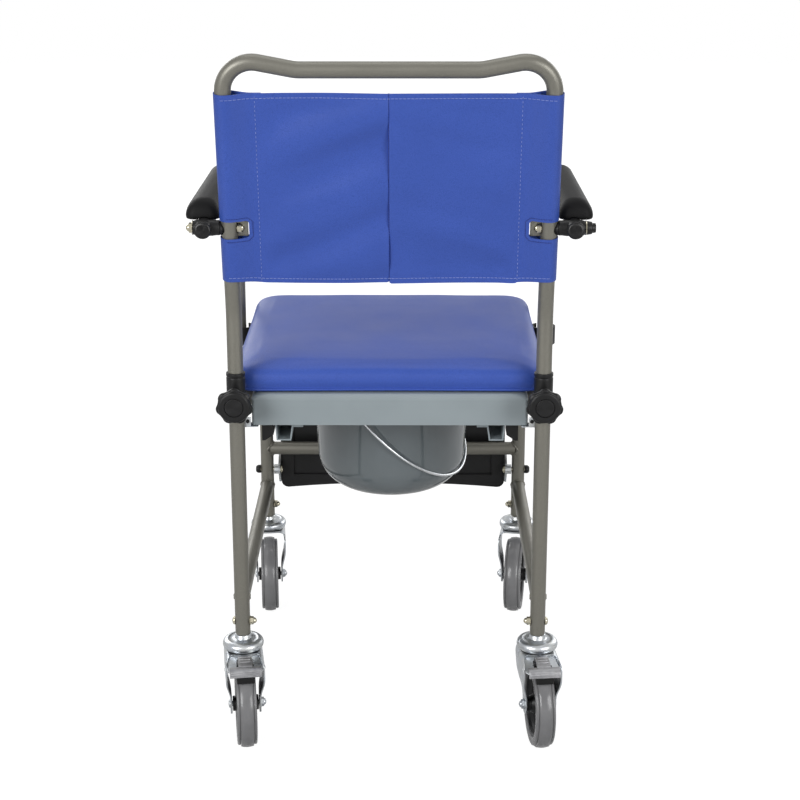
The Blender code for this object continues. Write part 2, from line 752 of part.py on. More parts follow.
def make_brake(side, corner, x, forward, yaw):
    """Foot lever hinged between the fork plates, with its shoe over the tread."""
    crown_r = FORK_TOP_WIDTH / 2
    plate_z = WHEEL_D + SHOE_CLEARANCE + PEDAL_T / 2
    ear_x = HUB_BOSS_HALF - PEDAL_T / 2 - 0.0005
    pivot = (0, CASTER_TRAIL - 0.0075, WHEEL_D - 0.009)
    inner_width = 2 * ear_x + PEDAL_T
    lever = strip(
        f"brake_pedal_{side}",
        [
            (crown_r * 0.42, plate_z),
            (crown_r * 1.10, plate_z),
            (crown_r * 1.26, plate_z + 0.0100),
            (PEDAL_REACH - 0.019, plate_z + 0.0085),
            (PEDAL_REACH - 0.009, plate_z + 0.0050),
        ],
        PEDAL_T,
        TONGUE_WIDTH,
        "zinc",
    )
    shelf = strip(
        f"brake_shelf_{side}",
        [(crown_r * 0.44, plate_z - 0.0001), (crown_r * 1.08, plate_z - 0.0001)],
        PEDAL_T * 1.02,
        inner_width,
    )
    lip = strip(
        f"brake_lip_{side}",
        [
            (PEDAL_REACH - 0.012, plate_z + 0.0054),
            (PEDAL_REACH - 0.005, plate_z + 0.0040),
            (PEDAL_REACH - 0.001, plate_z - 0.0020),
            (PEDAL_REACH, plate_z - 0.0100),
        ],
        PEDAL_T * 1.15,
        PEDAL_WIDTH,
    )
    ears = []
    ear_outline = [
        (pivot[1] - 0.0065, plate_z),
        (pivot[1] - 0.0065, pivot[2]),
        (pivot[1], pivot[2] - 0.0065),
        (pivot[1] + 0.0065, pivot[2]),
        (crown_r * 1.05, plate_z),
    ]
    for tag, sign in (("a", 1), ("b", -1)):
        ear = plate(f"brake_ear_{side}_{tag}", ear_outline, PEDAL_T, "YZ")
        ear.data.transform(Matrix.Translation((sign * ear_x - PEDAL_T / 2, 0, 0)))
        ears.append(ear)
    shoe = block(
        f"brake_shoe_{side}",
        (-SHOE_WIDTH / 2, PEDAL_REACH - 0.019, WHEEL_D - 0.018),
        (SHOE_WIDTH / 2, PEDAL_REACH - 0.007, plate_z + 0.0040),
    )
    join(lever, shelf, lip, shoe, *ears)
    reach = WHEEL_R + SHOE_CLEARANCE
    tread = turned(
        f"cut_tread_{side}",
        [(0, -TYRE_WIDTH), (reach, -TYRE_WIDTH), (reach, TYRE_WIDTH), (0, TYRE_WIDTH)],
        None,
        48,
        "X",
        (0, CASTER_TRAIL, WHEEL_R),
    )
    cut(lever, tread)
    for piece in (lever, shelf, lip, shoe, tread, *ears):
        settle(piece, x, forward, yaw)
    world = Matrix.Translation(place(forward, x)) @ Matrix.Rotation(yaw, 4, "Z")
    set_origin(lever, world @ Vector(pivot))


def set_origin(obj, point):
    """Moves the object's origin to a world point and leaves its mesh in place."""
    local = obj.matrix_basis.inverted() @ Vector(point)
    obj.data.transform(Matrix.Translation(-local))
    obj.matrix_basis = obj.matrix_basis @ Matrix.Translation(local)


def make_casters():
    for end, forward in (("rear", 0.0), ("front", LEG_SPACING_Y)):
        for side, sign in SIDES:
            corner = f"{end}_{side}"
            x = sign * HALF_X
            yaw = math.radians(YAW_DEG[corner])
            make_caster_head(corner, x, forward)
            make_fork(corner, x, forward, yaw)
            make_wheel(corner, x, forward, yaw)
            if end == "rear":
                make_brake(side, corner, x, forward, yaw)


def make_seat_board():
    """Moulded seat shell: a flat top with a skirt round it, open below, and the toilet aperture."""
    half_x = BOARD_WIDTH / 2
    half_y = (BOARD_FRONT - BOARD_REAR) / 2
    middle = place((BOARD_FRONT + BOARD_REAR) / 2)
    rows = [(0.0, BOARD_BASE_Z, BOARD_CORNER_R)]
    for out, rise in arc((0.0, 0.0), 1.0, 0, 90, 4):
        inset = BOARD_EDGE_R * (1 - out)
        corner_r = BOARD_CORNER_R + (BOARD_TOP_CORNER_R - BOARD_CORNER_R) * rise
        rows.append((inset, BOARD_TOP_Z - BOARD_EDGE_R * (1 - rise), corner_r))
    loops = []
    for inset, z, corner_r in rows:
        outline = rounded_rectangle(half_x - inset, half_y - inset, corner_r)
        loops.append([(a, b, z) for a, b in outline])
    board = stacked("seat_board", loops, "seat_plastic", middle)
    hollow = plate(
        "cut_board_hollow",
        rounded_rectangle(half_x, half_y, BOARD_CORNER_R, inset=BOARD_SKIRT_T),
        BOARD_H,
        "XY",
        location=middle + Vector((0, 0, BOARD_TOP_Z - BOARD_PLATE_T - BOARD_H)),
    )
    lip_centre = place(PAIL_CENTRE)
    oval = rounded_rectangle(APERTURE_WIDTH / 2, APERTURE_LENGTH / 2, APERTURE_WIDTH / 2, steps=8)
    lip_outline = rounded_rectangle(
        APERTURE_WIDTH / 2 + BOARD_SKIRT_T,
        APERTURE_LENGTH / 2 + BOARD_SKIRT_T,
        APERTURE_WIDTH / 2 + BOARD_SKIRT_T,
        steps=8,
    )
    lip = plate(
        "aperture_lip",
        lip_outline,
        BOARD_PLATE_T / 2 + APERTURE_LIP,
        "XY",
        location=lip_centre + Vector((0, 0, BOARD_TOP_Z - BOARD_PLATE_T - APERTURE_LIP)),
    )
    aperture = plate(
        "cut_aperture",
        oval,
        2 * BOARD_H,
        "XY",
        location=lip_centre + Vector((0, 0, BOARD_TOP_Z - BOARD_H)),
    )
    cut(board, hollow)
    join(board, lip)
    cut(board, aperture)
    for end, forward in (
        ("rear", SEAT_CROSS_INSET_REAR),
        ("front", BOARD_FRONT - SEAT_CROSS_INSET_FRONT),
    ):
        notch = block(
            f"cut_cross_way_{end}",
            place(forward + CROSS_R + SWING_GAP, -BOARD_WIDTH, BOARD_BASE_Z - CROSS_R),
            place(forward - CROSS_R - SWING_GAP, BOARD_WIDTH, BOARD_TOP_Z - BOARD_PLATE_T - GAP / 2),
        )
        cut(board, notch)


def runner_outline():
    """Trough section with its ledge: x from the chair's middle, z up."""
    inner_top = RUNNER_INNER_X
    outer_top = inner_top + RUNNER_TOP_WIDTH
    slope = (RUNNER_TOP_WIDTH - RUNNER_BASE_WIDTH) * 0.65
    inner_base = inner_top + slope
    outer_base = inner_base + RUNNER_BASE_WIDTH
    base = RUNNER_TOP_Z - RUNNER_DEPTH

    def inner_at(z):
        return inner_top + (RUNNER_TOP_Z - z) / RUNNER_DEPTH * slope

    tip = PAIL_RIM_D / 2 - RUNNER_LEDGE
    wall = RUNNER_WALL
    return [
        (inner_top, RUNNER_TOP_Z),
        (inner_at(LEDGE_TOP_Z), LEDGE_TOP_Z),
        (tip, LEDGE_TOP_Z),
        (tip, LEDGE_TOP_Z - LEDGE_T),
        (inner_at(LEDGE_TOP_Z - LEDGE_T), LEDGE_TOP_Z - LEDGE_T),
        (inner_base, base),
        (outer_base, base),
        (outer_top, RUNNER_TOP_Z),
        (outer_top - wall, RUNNER_TOP_Z),
        (outer_base - wall, base + wall),
        (inner_base + wall, base + wall),
        (inner_top + wall, RUNNER_TOP_Z),
    ]


def make_pail_runners():
    for side, sign in SIDES:
        outline = [(sign * a, b) for a, b in runner_outline()]
        plate(
            f"bucket_runner_{side}",
            outline,
            RUNNER_END - RUNNER_START,
            "XZ",
            "seat_plastic",
            location=(0, REAR_Y - RUNNER_END, 0),
        )


def make_seat_clips():
    """Hooks that hold the rear seat tube beside each runner."""
    inner = CLIP_INNER_X
    outer = inner + CLIP_WIDTH
    top = RUNNER_TOP_Z
    base = top - CLIP_H
    drop = CLIP_WIDTH * 0.75 * math.tan(math.radians(CLIP_CHAMFER_DEG))
    outline = [
        (inner, top),
        (inner, base + drop),
        (inner + CLIP_WIDTH * 0.75, base),
        (outer, base),
        (outer, top),
    ]
    for side, sign in SIDES:
        plate(
            f"seat_clip_{side}",
            [(sign * a, b) for a, b in outline],
            CLIP_LENGTH,
            "XZ",
            "black_plastic",
            location=(0, REAR_Y - SEAT_CROSS_INSET_REAR - CLIP_LENGTH / 2, 0),
        )


def bail_frame():
    """Axis through the pail's ears, the way the wire leans out from it, and the way it hangs."""
    turn = math.radians(BAIL_AZIMUTH_DEG)
    lean = math.radians(BAIL_LEAN_DEG)
    ear_axis = Vector((-math.cos(turn), -math.sin(turn), 0))
    outward = Vector((-math.sin(turn), math.cos(turn), 0))
    hang = Vector((0, 0, -1)) * math.cos(lean) + outward * math.sin(lean)
    return ear_axis, hang


def make_pail():
    rim_r = PAIL_RIM_D / 2
    mouth_r = PAIL_MOUTH_D / 2
    waist_r = PAIL_WAIST_D / 2
    base_z = PAIL_TOP_Z - PAIL_H
    wall = PAIL_WALL
    flat_r = PAIL_BASE_FLAT_R
    waist_z = base_z + PAIL_H * PAIL_BOWL_SHARE
    bowl = [
        (
            flat_r + (waist_r - flat_r) * math.sin(math.radians(turn)),
            waist_z - (waist_z - base_z) * math.cos(math.radians(turn)),
        )
        for turn in (0, 14, 28, 42, 56, 73, 90)
    ]
    share = (waist_z - base_z - wall) / (waist_z - base_z)
    squeeze = (waist_r - wall - flat_r) / (waist_r - flat_r)
    inside = [
        (flat_r + (r - flat_r) * squeeze, waist_z - (waist_z - z) * share)
        for r, z in reversed(bowl)
    ]
    profile = [
        (0, base_z),
        *bowl,
        (mouth_r, PAIL_TOP_Z - PAIL_RIM_T),
        (rim_r, PAIL_TOP_Z - PAIL_RIM_T),
        (rim_r, PAIL_TOP_Z),
        (mouth_r - wall, PAIL_TOP_Z),
        *inside,
        (0, base_z + wall),
    ]
    pail = turned("bucket", profile, "pail_plastic", 32, location=place(PAIL_CENTRE))
    ear_axis, hang = bail_frame()
    centre = place(PAIL_CENTRE, 0, EAR_Z)
    wire_r = BAIL_D / 2
    mouth_z = PAIL_TOP_Z - PAIL_RIM_T
    wall_r = mouth_r - (mouth_r - waist_r) * (mouth_z - EAR_Z) / (mouth_z - waist_z)
    ear_out = wall_r + EAR_PROUD
    for tag, sign in (("a", 1), ("b", -1)):
        ear = rod(
            f"pail_ear_{tag}",
            centre + ear_axis * (sign * (wall_r - wall * 0.8)),
            centre + ear_axis * (sign * ear_out),
            EAR_D,
            12,
        )
        join(pail, ear)
    span = ear_out + SWING_GAP + wire_r
    path = []
    steps = 18
    for i in range(steps + 1):
        angle = math.pi * i / steps
        path.append(centre + ear_axis * (span * math.cos(angle)) + hang * (BAIL_DROP * math.sin(angle)))
    bail = tube("bucket_bail", path, BAIL_D, "steel_wire", sides=6)
    set_origin(bail, centre)


def make_cushion():
    """Padded seat: crowned top, shoulders rolled over, sides drawn in between the corners."""
    half_x = CUSHION_WIDTH / 2
    half_y = (CUSHION_FRONT - CUSHION_REAR) / 2
    middle = place((CUSHION_FRONT + CUSHION_REAR) / 2)
    base = CUSHION_BASE_Z
    shoulder = base + CUSHION_SIDE_H

    def drawn_in(along, half):
        """How far a side is drawn in: most at its middle, none at its corners."""
        return CUSHION_DRAW_IN * max(0.0, 1 - (along / (half - CUSHION_CORNER_R)) ** 2)

    def loop(inset, z, crown=0.0):
        points = []
        corners = rounded_rectangle(half_x, half_y, CUSHION_CORNER_R, steps=6, inset=inset)
        outline = []
        for i, (a, b) in enumerate(corners):
            outline.append((a, b))
            after = corners[(i + 1) % len(corners)]
            if (i + 1) % 7 == 0:
                outline += [
                    (a + (after[0] - a) * share, b + (after[1] - b) * share)
                    for share in (0.25, 0.5, 0.75)
                ]
        for a, b in outline:
            pull_x = drawn_in(b, half_y)
            pull_y = drawn_in(a, half_x)
            on_side_x = abs(a) > half_x - inset - CUSHION_CORNER_R * 0.5
            on_side_y = abs(b) > half_y - inset - CUSHION_CORNER_R * 0.5
            a -= math.copysign(pull_x, a) if on_side_x else 0.0
            b -= math.copysign(pull_y, b) if on_side_y else 0.0
            rise = crown * (1 - (a / half_x) ** 4) * (1 - (b / half_y) ** 4)
            points.append((a, b, z + rise))
        return points

    loops = [
        loop(0.008, base),
        loop(0.002, base + 0.002),
        loop(0.000, base + 0.008),
        loop(0.000, base + CUSHION_SIDE_H * 0.60),
        loop(0.003, base + CUSHION_SIDE_H * 0.84),
        loop(0.009, shoulder - 0.001, CUSHION_CROWN * 0.10),
        loop(0.020, shoulder, CUSHION_CROWN * 0.40),
        loop(0.045, shoulder, CUSHION_CROWN * 0.70),
        loop(0.085, shoulder, CUSHION_CROWN * 0.88),
        loop(0.130, shoulder, CUSHION_CROWN * 0.97),
        loop(0.175, shoulder, CUSHION_CROWN),
    ]
    stacked("seat_cushion", loops, "vinyl", middle, smooth_deg=60)


def make_collars_and_knobs():
    for side, sign in SIDES:
        x = sign * HALF_X
        low = RAIL_Z + TUBE_R + 2 * GAP
        high = LEG_TOP_Z + COLLAR_ABOVE_JOINT
        bore_r = TUBE_R + GAP
        outer_r = COLLAR_D / 2
        collar = turned(
            f"leg_collar_{side}",
            [
                (bore_r, low),
                (outer_r, low),
                (outer_r, high - 0.0015),
                (outer_r - 0.0010, high),
                (bore_r, high),
            ],
            "black_plastic",
            16,
            location=place(0, x),
        )
        boss_end = -(outer_r + KNOB_STANDOFF)
        boss = rod(
            f"collar_boss_{side}",
            place(-bore_r - 0.0006, x, KNOB_Z),
            place(boss_end, x, KNOB_Z),
            KNOB_BOSS_D,
        )
        stud_hole = rod(
            f"cut_stud_{side}",
            place(0, x, KNOB_Z),
            place(boss_end - KNOB_BOSS_D, x, KNOB_Z),
            STUD_D + 2 * RUN_GAP,
        )
        bore = rod(
            f"cut_collar_bore_{side}",
            place(0, x, low - TUBE_D),
            place(0, x, high + TUBE_D),
            2 * bore_r,
            16,
        )
        join(collar, boss)
        cut(collar, bore, stud_hole)
        make_knob(side, x, boss_end - SWING_GAP)


def make_knob(side, x, start):
    """Star knob: a lobed body, a round face with a turned cap, and a stud that presses on the leg."""
    outer_r = KNOB_D / 2
    face_r = KNOB_FACE_D / 2
    count = KNOB_LOBES * 5

    def ring(radius, out, lobes):
        points = []
        for i in range(count):
            angle = 2 * math.pi * i / count
            lobe = KNOB_LOBE_DEPTH * (math.cos(KNOB_LOBES * angle) - 1) * lobes
            r = radius + lobe
            points.append((r * math.sin(angle), out, r * math.cos(angle)))
        return points

    stud_r = STUD_D / 2
    hub_r = KNOB_BOSS_D / 2
    stud_in = -(abs(start) - TUBE_R - 3 * GAP)
    loops = [
        ring(stud_r, stud_in, 0),
        ring(stud_r, 0.0, 0),
        ring(hub_r, 0.0, 0),
        ring(hub_r, KNOB_T * 0.22, 0),
        ring(outer_r - 0.003, KNOB_T * 0.26, 1),
        ring(outer_r, KNOB_T * 0.38, 1),
        ring(outer_r, KNOB_T * 0.62, 1),
        ring(face_r + 0.001, KNOB_T * 0.74, 0.4),
        ring(face_r, KNOB_T * 0.90, 0),
        ring(face_r - 0.0025, KNOB_T, 0),
        ring(face_r * 0.60, KNOB_T, 0),
        ring(face_r * 0.57, KNOB_T - 0.0012, 0),
    ]
    stacked(f"clamp_knob_{side}", loops, "black_plastic", place(start, x, KNOB_Z))


def leaned(x, along):
    """A point of the backrest's upper part, at a length along the leaning uprights."""
    return place(-along * math.sin(LEAN), x, LEAN_START_Z + along * math.cos(LEAN))


def make_back_frame():
    """One tube: spigots in the legs, leaning uprights, humped corners and a dropped push bar."""
    hump = BACK_RISE / math.cos(LEAN)
    corner_lift = HANDLE_CORNER_R * 0.16
    dip = HANDLE_DIP / math.cos(LEAN)
    half_middle = HANDLE_MIDDLE / 2
    upright_base = LEG_TOP_Z + GAP
    corners = [
        place(0, HALF_X, upright_base),
        place(0, HALF_X, LEAN_START_Z),
        leaned(HALF_X, hump + corner_lift),
        leaned(half_middle, hump - dip),
        leaned(-half_middle, hump - dip),
        leaned(-HALF_X, hump + corner_lift),
        place(0, -HALF_X, LEAN_START_Z),
        place(0, -HALF_X, upright_base),
    ]
    radii = [LEAN_BEND_R, HANDLE_CORNER_R, HANDLE_DIP_R, HANDLE_DIP_R, HANDLE_CORNER_R, LEAN_BEND_R]
    frame = tube("back_frame", filleted(corners, radii), TUBE_D, "tube_paint", wall=TUBE_WALL)
    for side, sign in SIDES:
        x = sign * HALF_X
        spigot = tube(
            f"spigot_{side}",
            [place(0, x, LEG_TOP_Z - SPIGOT_LENGTH), place(0, x, LEG_TOP_Z + SPIGOT_LENGTH / 2)],
            2 * (BORE_R - GAP),
            wall=TUBE_WALL,
        )
        web = tube(
            f"spigot_web_{side}",
            [place(0, x, LEG_TOP_Z + GAP * 2), place(0, x, LEG_TOP_Z + SPIGOT_LENGTH / 3)],
            TUBE_D - TUBE_WALL,
            wall=TUBE_WALL * 1.4,
        )
        hole = cross_hole(
            f"cut_arm_pivot_{side}",
            place(ARM_PIVOT_AT, x, ARM_Z),
            PIVOT_BOLT_D + 2 * RUN_GAP,
            2 * TUBE_D,
        )
        join(frame, spigot, web)
        cut(frame, hole)


def sling_section():
    """Half of the sling's outline across the backrest, and the sleeve's hole round the tube."""
    hole_r = TUBE_R + GAP
    outer_r = hole_r + SLING_CLOTH_T
    root = HALF_X - SLING_SLEEVE
    half = SLING_PANEL_T / 2
    front_arc = [(HALF_X + a, b) for a, b in arc((0, 0), outer_r, -100, 100, 12)]
    outer = [(root, -half), *front_arc, (root, half)]
    tip = root + SLING_CLOTH_T * 3.0
    hole = [(tip, 0.0)] + [(HALF_X + a, b) for a, b in arc((0, 0), hole_r, -112, 112, 12)]
    return outer, hole


def make_sling():
    """Vinyl sling: a panel sewn to a sleeve on each upright, with a window for each arm pivot."""
    outer, hole = sling_section()
    top = (HUMP_Z - SLING_BELOW_HANDLE - LEAN_START_Z) / math.cos(LEAN)
    bottom = top - SLING_HEIGHT / math.cos(LEAN)
    mirrored = [(-a, b) for a, b in outer[::-1]]
    turn = Matrix.Rotation(-LEAN, 4, "X")
    lift = Matrix.Translation(place(0, 0, LEAN_START_Z)) @ turn

    def in_lean(name, outline, low, high):
        made = plate(name, outline, high - low, "XY")
        made.data.transform(Matrix.Translation((0, 0, low)))
        made.matrix_basis = lift
        return made

    sling = in_lean("back_sling", outer + mirrored, bottom, top)
    sling.data.materials.append(material("vinyl"))
    for side, sign in SIDES:
        outline = [(sign * a, b) for a, b in hole]
        pocket = in_lean(f"cut_sleeve_{side}", outline, bottom - TUBE_D, top + TUBE_D)
        pivot_along = (ARM_Z - LEAN_START_Z) / math.cos(LEAN)
        inner = HALF_X - SLING_WINDOW_W
        half = SLING_WINDOW_H / 2
        window = in_lean(
            f"cut_window_{side}",
            [
                (min(sign * inner, sign * 2 * HALF_X), -TUBE_D * 1.5),
                (max(sign * inner, sign * 2 * HALF_X), -TUBE_D * 1.5),
                (max(sign * inner, sign * 2 * HALF_X), TUBE_D * 1.5),
                (min(sign * inner, sign * 2 * HALF_X), TUBE_D * 1.5),
            ],
            pivot_along - half,
            pivot_along + half,
        )
        cut(sling, pocket, window)


def make_armrests():
    for side, sign in SIDES:
        x = sign * ARM_X
        pivot = place(ARM_PIVOT_AT, x, ARM_Z)
        tube_start = ARM_PIVOT_AT + PIVOT_BOLT_D / 2 + 0.008
        corners = [
            place(tube_start, x, ARM_Z),
            place(ARM_POST_AT, x, ARM_Z),
            place(ARM_POST_AT, x, ARM_FOOT_Z),
        ]
        arm = tube(
            f"arm_tube_{side}",
            filleted(corners, [ARM_BEND_R]),
            ARM_TUBE_D,
            "tube_paint",
            wall=TUBE_WALL,
            sides=12,
        )
        set_origin(arm, pivot)
        make_arm_joint(side, sign, pivot, tube_start)
        make_arm_pad(side, sign, pivot)
        make_pivot_bolt(side, sign)
        make_arm_socket(side, sign)


def make_arm_joint(side, sign, pivot, tube_start):
    """Moulded tee: a sleeve on the pivot bolt and a socket for the arm tube."""
    inner_end = HALF_X + TUBE_R + SWING_GAP + 0.0005
    outer_end = ARM_X + ARM_JOINT_D / 2 + ARM_SLEEVE_PROUD
    x = sign * ARM_X
    joint = rod(
        f"arm_joint_{side}",
        place(ARM_PIVOT_AT - ARM_JOINT_REAR, x, ARM_Z),
        place(ARM_PIVOT_AT + ARM_JOINT_FRONT, x, ARM_Z),
        ARM_JOINT_D,
        16,
        "black_plastic",
    )
    sleeve_r = ARM_PIVOT_SLEEVE_D / 2
    sleeve = tube(
        f"arm_sleeve_{side}",
        [
            place(ARM_PIVOT_AT, sign * inner_end, ARM_Z),
            place(ARM_PIVOT_AT, sign * (inner_end + 0.004), ARM_Z),
            place(ARM_PIVOT_AT, sign * outer_end, ARM_Z),
        ],
        ARM_PIVOT_SLEEVE_D,
        sides=16,
        taper=[sleeve_r, sleeve_r * 1.01, sleeve_r * 0.92],
    )
    bolt_way = cross_hole(f"cut_arm_bolt_{side}", pivot, PIVOT_BOLT_D + 2 * RUN_GAP, 4 * ARM_OUTSET)
    tube_way = rod(
        f"cut_arm_tube_{side}",
        place(tube_start - GAP, x, ARM_Z),
        place(ARM_PIVOT_AT + ARM_JOINT_FRONT + ARM_JOINT_D, x, ARM_Z),
        ARM_TUBE_D + 2 * RUN_GAP,
        16,
    )
    join(joint, sleeve)
    cut(joint, bolt_way, tube_way)
    set_origin(joint, pivot)


def make_arm_pad(side, sign, pivot):
    """Moulded foam pad on the arm tube, hollowed below where it covers the tee."""
    base = ARM_Z + ARM_TUBE_D / 2 + GAP
    half_x, half_y = PAD_WIDTH / 2, PAD_LENGTH / 2
    x = sign * ARM_X
    middle = place(PAD_REAR + half_y, x + sign * PAD_OUTSET)
    loops = []
    for inset, share in (
        (0.0030, 0.00),
        (0.0003, 0.10),
        (0.0000, 0.25),
        (0.0010, 0.45),
        (0.0045, 0.72),
        (0.0100, 0.92),
        (0.0170, 1.00),
    ):
        outline = rounded_rectangle(half_x, half_y, half_x * 0.75, steps=5, inset=inset)
        loops.append([(a, b, base + share * PAD_H) for a, b in outline])
    pad = stacked(f"arm_pad_{side}", loops, "pad_foam", middle, smooth_deg=60)
    hollow = rod(
        f"cut_pad_hollow_{side}",
        place(PAD_REAR - PAD_WIDTH, x, ARM_Z),
        place(ARM_PIVOT_AT + ARM_JOINT_FRONT + SWING_GAP, x, ARM_Z),
        ARM_JOINT_D + 2 * SWING_GAP,
        16,
    )
    cut(pad, hollow)
    set_origin(pad, pivot)


def make_pivot_bolt(side, sign):
    """Bolt through the upright and the tee, with a domed nut outside."""
    head_at = HALF_X - TUBE_R - GAP
    nut_at = ARM_X + ARM_JOINT_D / 2 + ARM_SLEEVE_PROUD + GAP
    shank_r = PIVOT_BOLT_D / 2
    nut_r = PIVOT_NUT_D / 2
    profile = [
        (0, head_at - PIVOT_HEAD_T),
        (nut_r * 0.75, head_at - PIVOT_HEAD_T * 0.9),
        (nut_r, head_at - PIVOT_HEAD_T * 0.35),
        (nut_r, head_at),
        (shank_r, head_at),
        (shank_r, nut_at),
        (nut_r, nut_at),
        (nut_r, nut_at + PIVOT_NUT_LENGTH * 0.6),
        (nut_r * 0.70, nut_at + PIVOT_NUT_LENGTH * 0.9),
        (0, nut_at + PIVOT_NUT_LENGTH),
    ]
    profile = [(r, sign * h) for r, h in profile]
    turned(
        f"arm_pivot_bolt_{side}",
        profile,
        "zinc",
        12,
        "X",
        place(ARM_PIVOT_AT, 0, ARM_Z),
    )


def make_arm_socket(side, sign):
    """Open-fronted cup that the arm's post drops into, on a saddle against the seat rail."""
    x = sign * ARM_X
    outer_r = SOCKET_D / 2
    inner_r = outer_r - SOCKET_WALL
    cup = turned(
        f"arm_socket_{side}",
        [
            (0, SOCKET_BASE_Z),
            (outer_r - 0.001, SOCKET_BASE_Z),
            (outer_r, SOCKET_BASE_Z + 0.001),
            (outer_r, SOCKET_TOP_Z),
            (inner_r, SOCKET_TOP_Z),
            (inner_r, SOCKET_BASE_Z + SOCKET_WALL),
            (0, SOCKET_BASE_Z + SOCKET_WALL),
        ],
        "black_plastic",
        20,
        location=place(ARM_POST_AT, x),
    )
    face = HALF_X + TUBE_R + GAP
    saddle_reach = ARM_X - inner_r - SOCKET_WALL / 2
    low, high = sorted((sign * face, sign * saddle_reach))
    saddle = block(
        f"socket_saddle_{side}",
        (low, REAR_Y - ARM_POST_AT - outer_r * 0.6, SOCKET_BASE_Z),
        (high, REAR_Y - ARM_POST_AT + outer_r * 0.6, SOCKET_TOP_Z - 0.002),
    )
    slot = block(
        f"cut_socket_slot_{side}",
        place(ARM_POST_AT + 2 * outer_r, x - SOCKET_SLOT_W / 2, SOCKET_BASE_Z + SOCKET_WALL),
        place(ARM_POST_AT + inner_r * 0.5, x + SOCKET_SLOT_W / 2, SOCKET_TOP_Z + SOCKET_H),
    )
    hollow = rod(
        f"cut_socket_hollow_{side}",
        place(ARM_POST_AT, x, SOCKET_BASE_Z + SOCKET_WALL),
        place(ARM_POST_AT, x, SOCKET_TOP_Z + SOCKET_H),
        2 * inner_r,
        20,
    )
    join(cup, saddle)
    cut(cup, hollow, slot)


def make_footrest():
    """Footboard folded up ahead of the legs, tread side facing back, on two straps."""
    half = TRAY_WIDTH / 2
    base = FOOT_PIVOT_Z - TRAY_BELOW_PIVOT
    top = base + TRAY_DEPTH
    near = LEG_SPACING_Y + TRAY_AHEAD
    pivot = place(LEG_SPACING_Y, 0, FOOT_PIVOT_Z)
    corner = TRAY_CORNER_R
    top_corner = TRAY_TOP_CORNER_R
    heel = []
    steps = 10
    for i in range(steps + 1):
        a = -half + corner + (2 * half - 2 * corner) * i / steps
        share = a / (half - corner)
        heel.append((a, base + TRAY_HEEL_ARCH * (1 - share * share)))
    outline = [
        *arc((half - corner, base + corner), corner, -90, 0, 4)[1:],
        *arc((half - top_corner, top - top_corner), top_corner, 0, 90, 5),
        *arc((-half + top_corner, top - top_corner), top_corner, 90, 180, 5),
        *arc((-half + corner, base + corner), corner, 180, 270, 4)[:-1],
        *heel,
    ]
    tray = plate(
        "footplate",
        outline,
        TRAY_T,
        "XZ",
        "black_plastic",
        location=(0, REAR_Y - near - TRAY_T, 0),
    )
    recess = block(
        "cut_tray_recess",
        place(near + TRAY_RECESS, -half + TRAY_BORDER, base + TRAY_BORDER + 0.001),
        place(near - TRAY_T, half - TRAY_BORDER, top - TRAY_BORDER / 2),
    )
    back = block(
        "cut_tray_back",
        place(near + 2 * TRAY_T, -half + 0.004, base + TRAY_BORDER),
        place(near + TRAY_T - TRAY_RECESS, half - 0.004, top - 0.006),
    )
    cut(tray, recess, back)
    ribs = []
    for i in range(4):
        a = (i - 1.5) * half * 0.5
        ribs.append(
            block(
                f"tray_rib_{i}",
                place(near + TRAY_T, a - 0.002, base + TRAY_BORDER - 0.004),
                place(near + TRAY_T - TRAY_RECESS - 0.002, a + 0.002, top - 0.004),
            )
        )
    join(tray, *ribs)
    set_origin(tray, pivot)
    arm_x = half + GAP
    for side, sign in SIDES:
        strap_outline = [
            *[(-a, b) for a, b in arc((0, 0), FOOT_BOSS_D / 2, 80, 280, 8)],
            (-TRAY_AHEAD, -TRAY_BELOW_PIVOT * 0.75),
            (-TRAY_AHEAD - TRAY_T * 0.9, -TRAY_BELOW_PIVOT * 0.75),
            (-TRAY_AHEAD - TRAY_T * 0.9, 0.022),
            (-TRAY_AHEAD, 0.022),
        ]
        strap = plate(
            f"footrest_arm_{side}",
            strap_outline,
            FOOT_ARM_T,
            "YZ",
            "zinc",
            location=pivot + Vector((arm_x if sign > 0 else -arm_x - FOOT_ARM_T, 0, 0)),
        )
        hole = cross_hole(
            f"cut_strap_{side}",
            place(LEG_SPACING_Y, sign * arm_x, FOOT_PIVOT_Z),
            PIVOT_BOLT_D + 2 * RUN_GAP,
            2 * TUBE_D,
        )
        boss_ends = (sign * (arm_x + FOOT_ARM_T / 2), sign * (HALF_X - TUBE_R - SWING_GAP))
        boss_in, boss_out = sorted(boss_ends)
        boss = rod(
            f"strap_boss_{side}",
            place(LEG_SPACING_Y, boss_in, FOOT_PIVOT_Z),
            place(LEG_SPACING_Y, boss_out, FOOT_PIVOT_Z),
            FOOT_BOSS_D,
            12,
        )
        join(strap, boss)
        cut(strap, hole)
        leg_out = HALF_X + TUBE_R + GAP
        nut_in = arm_x - GAP
        shank_r = PIVOT_BOLT_D / 2
        nut_r = FOOT_NUT_D / 2
        cap_r = FOOT_CAP_D / 2
        profile = [
            (0, nut_in - FOOT_NUT_T),
            (nut_r * 0.8, nut_in - FOOT_NUT_T),
            (nut_r, nut_in - FOOT_NUT_T * 0.7),
            (nut_r, nut_in),
            (shank_r, nut_in),
            (shank_r, leg_out),
            (cap_r, leg_out),
            (cap_r, leg_out + FOOT_CAP_T * 0.7),
            (cap_r * 0.8, leg_out + FOOT_CAP_T),
            (0, leg_out + FOOT_CAP_T),
        ]
        profile = [(r, sign * h) for r, h in profile]
        turned(f"footrest_pivot_{side}", profile, "black_plastic", 12, "X", pivot)


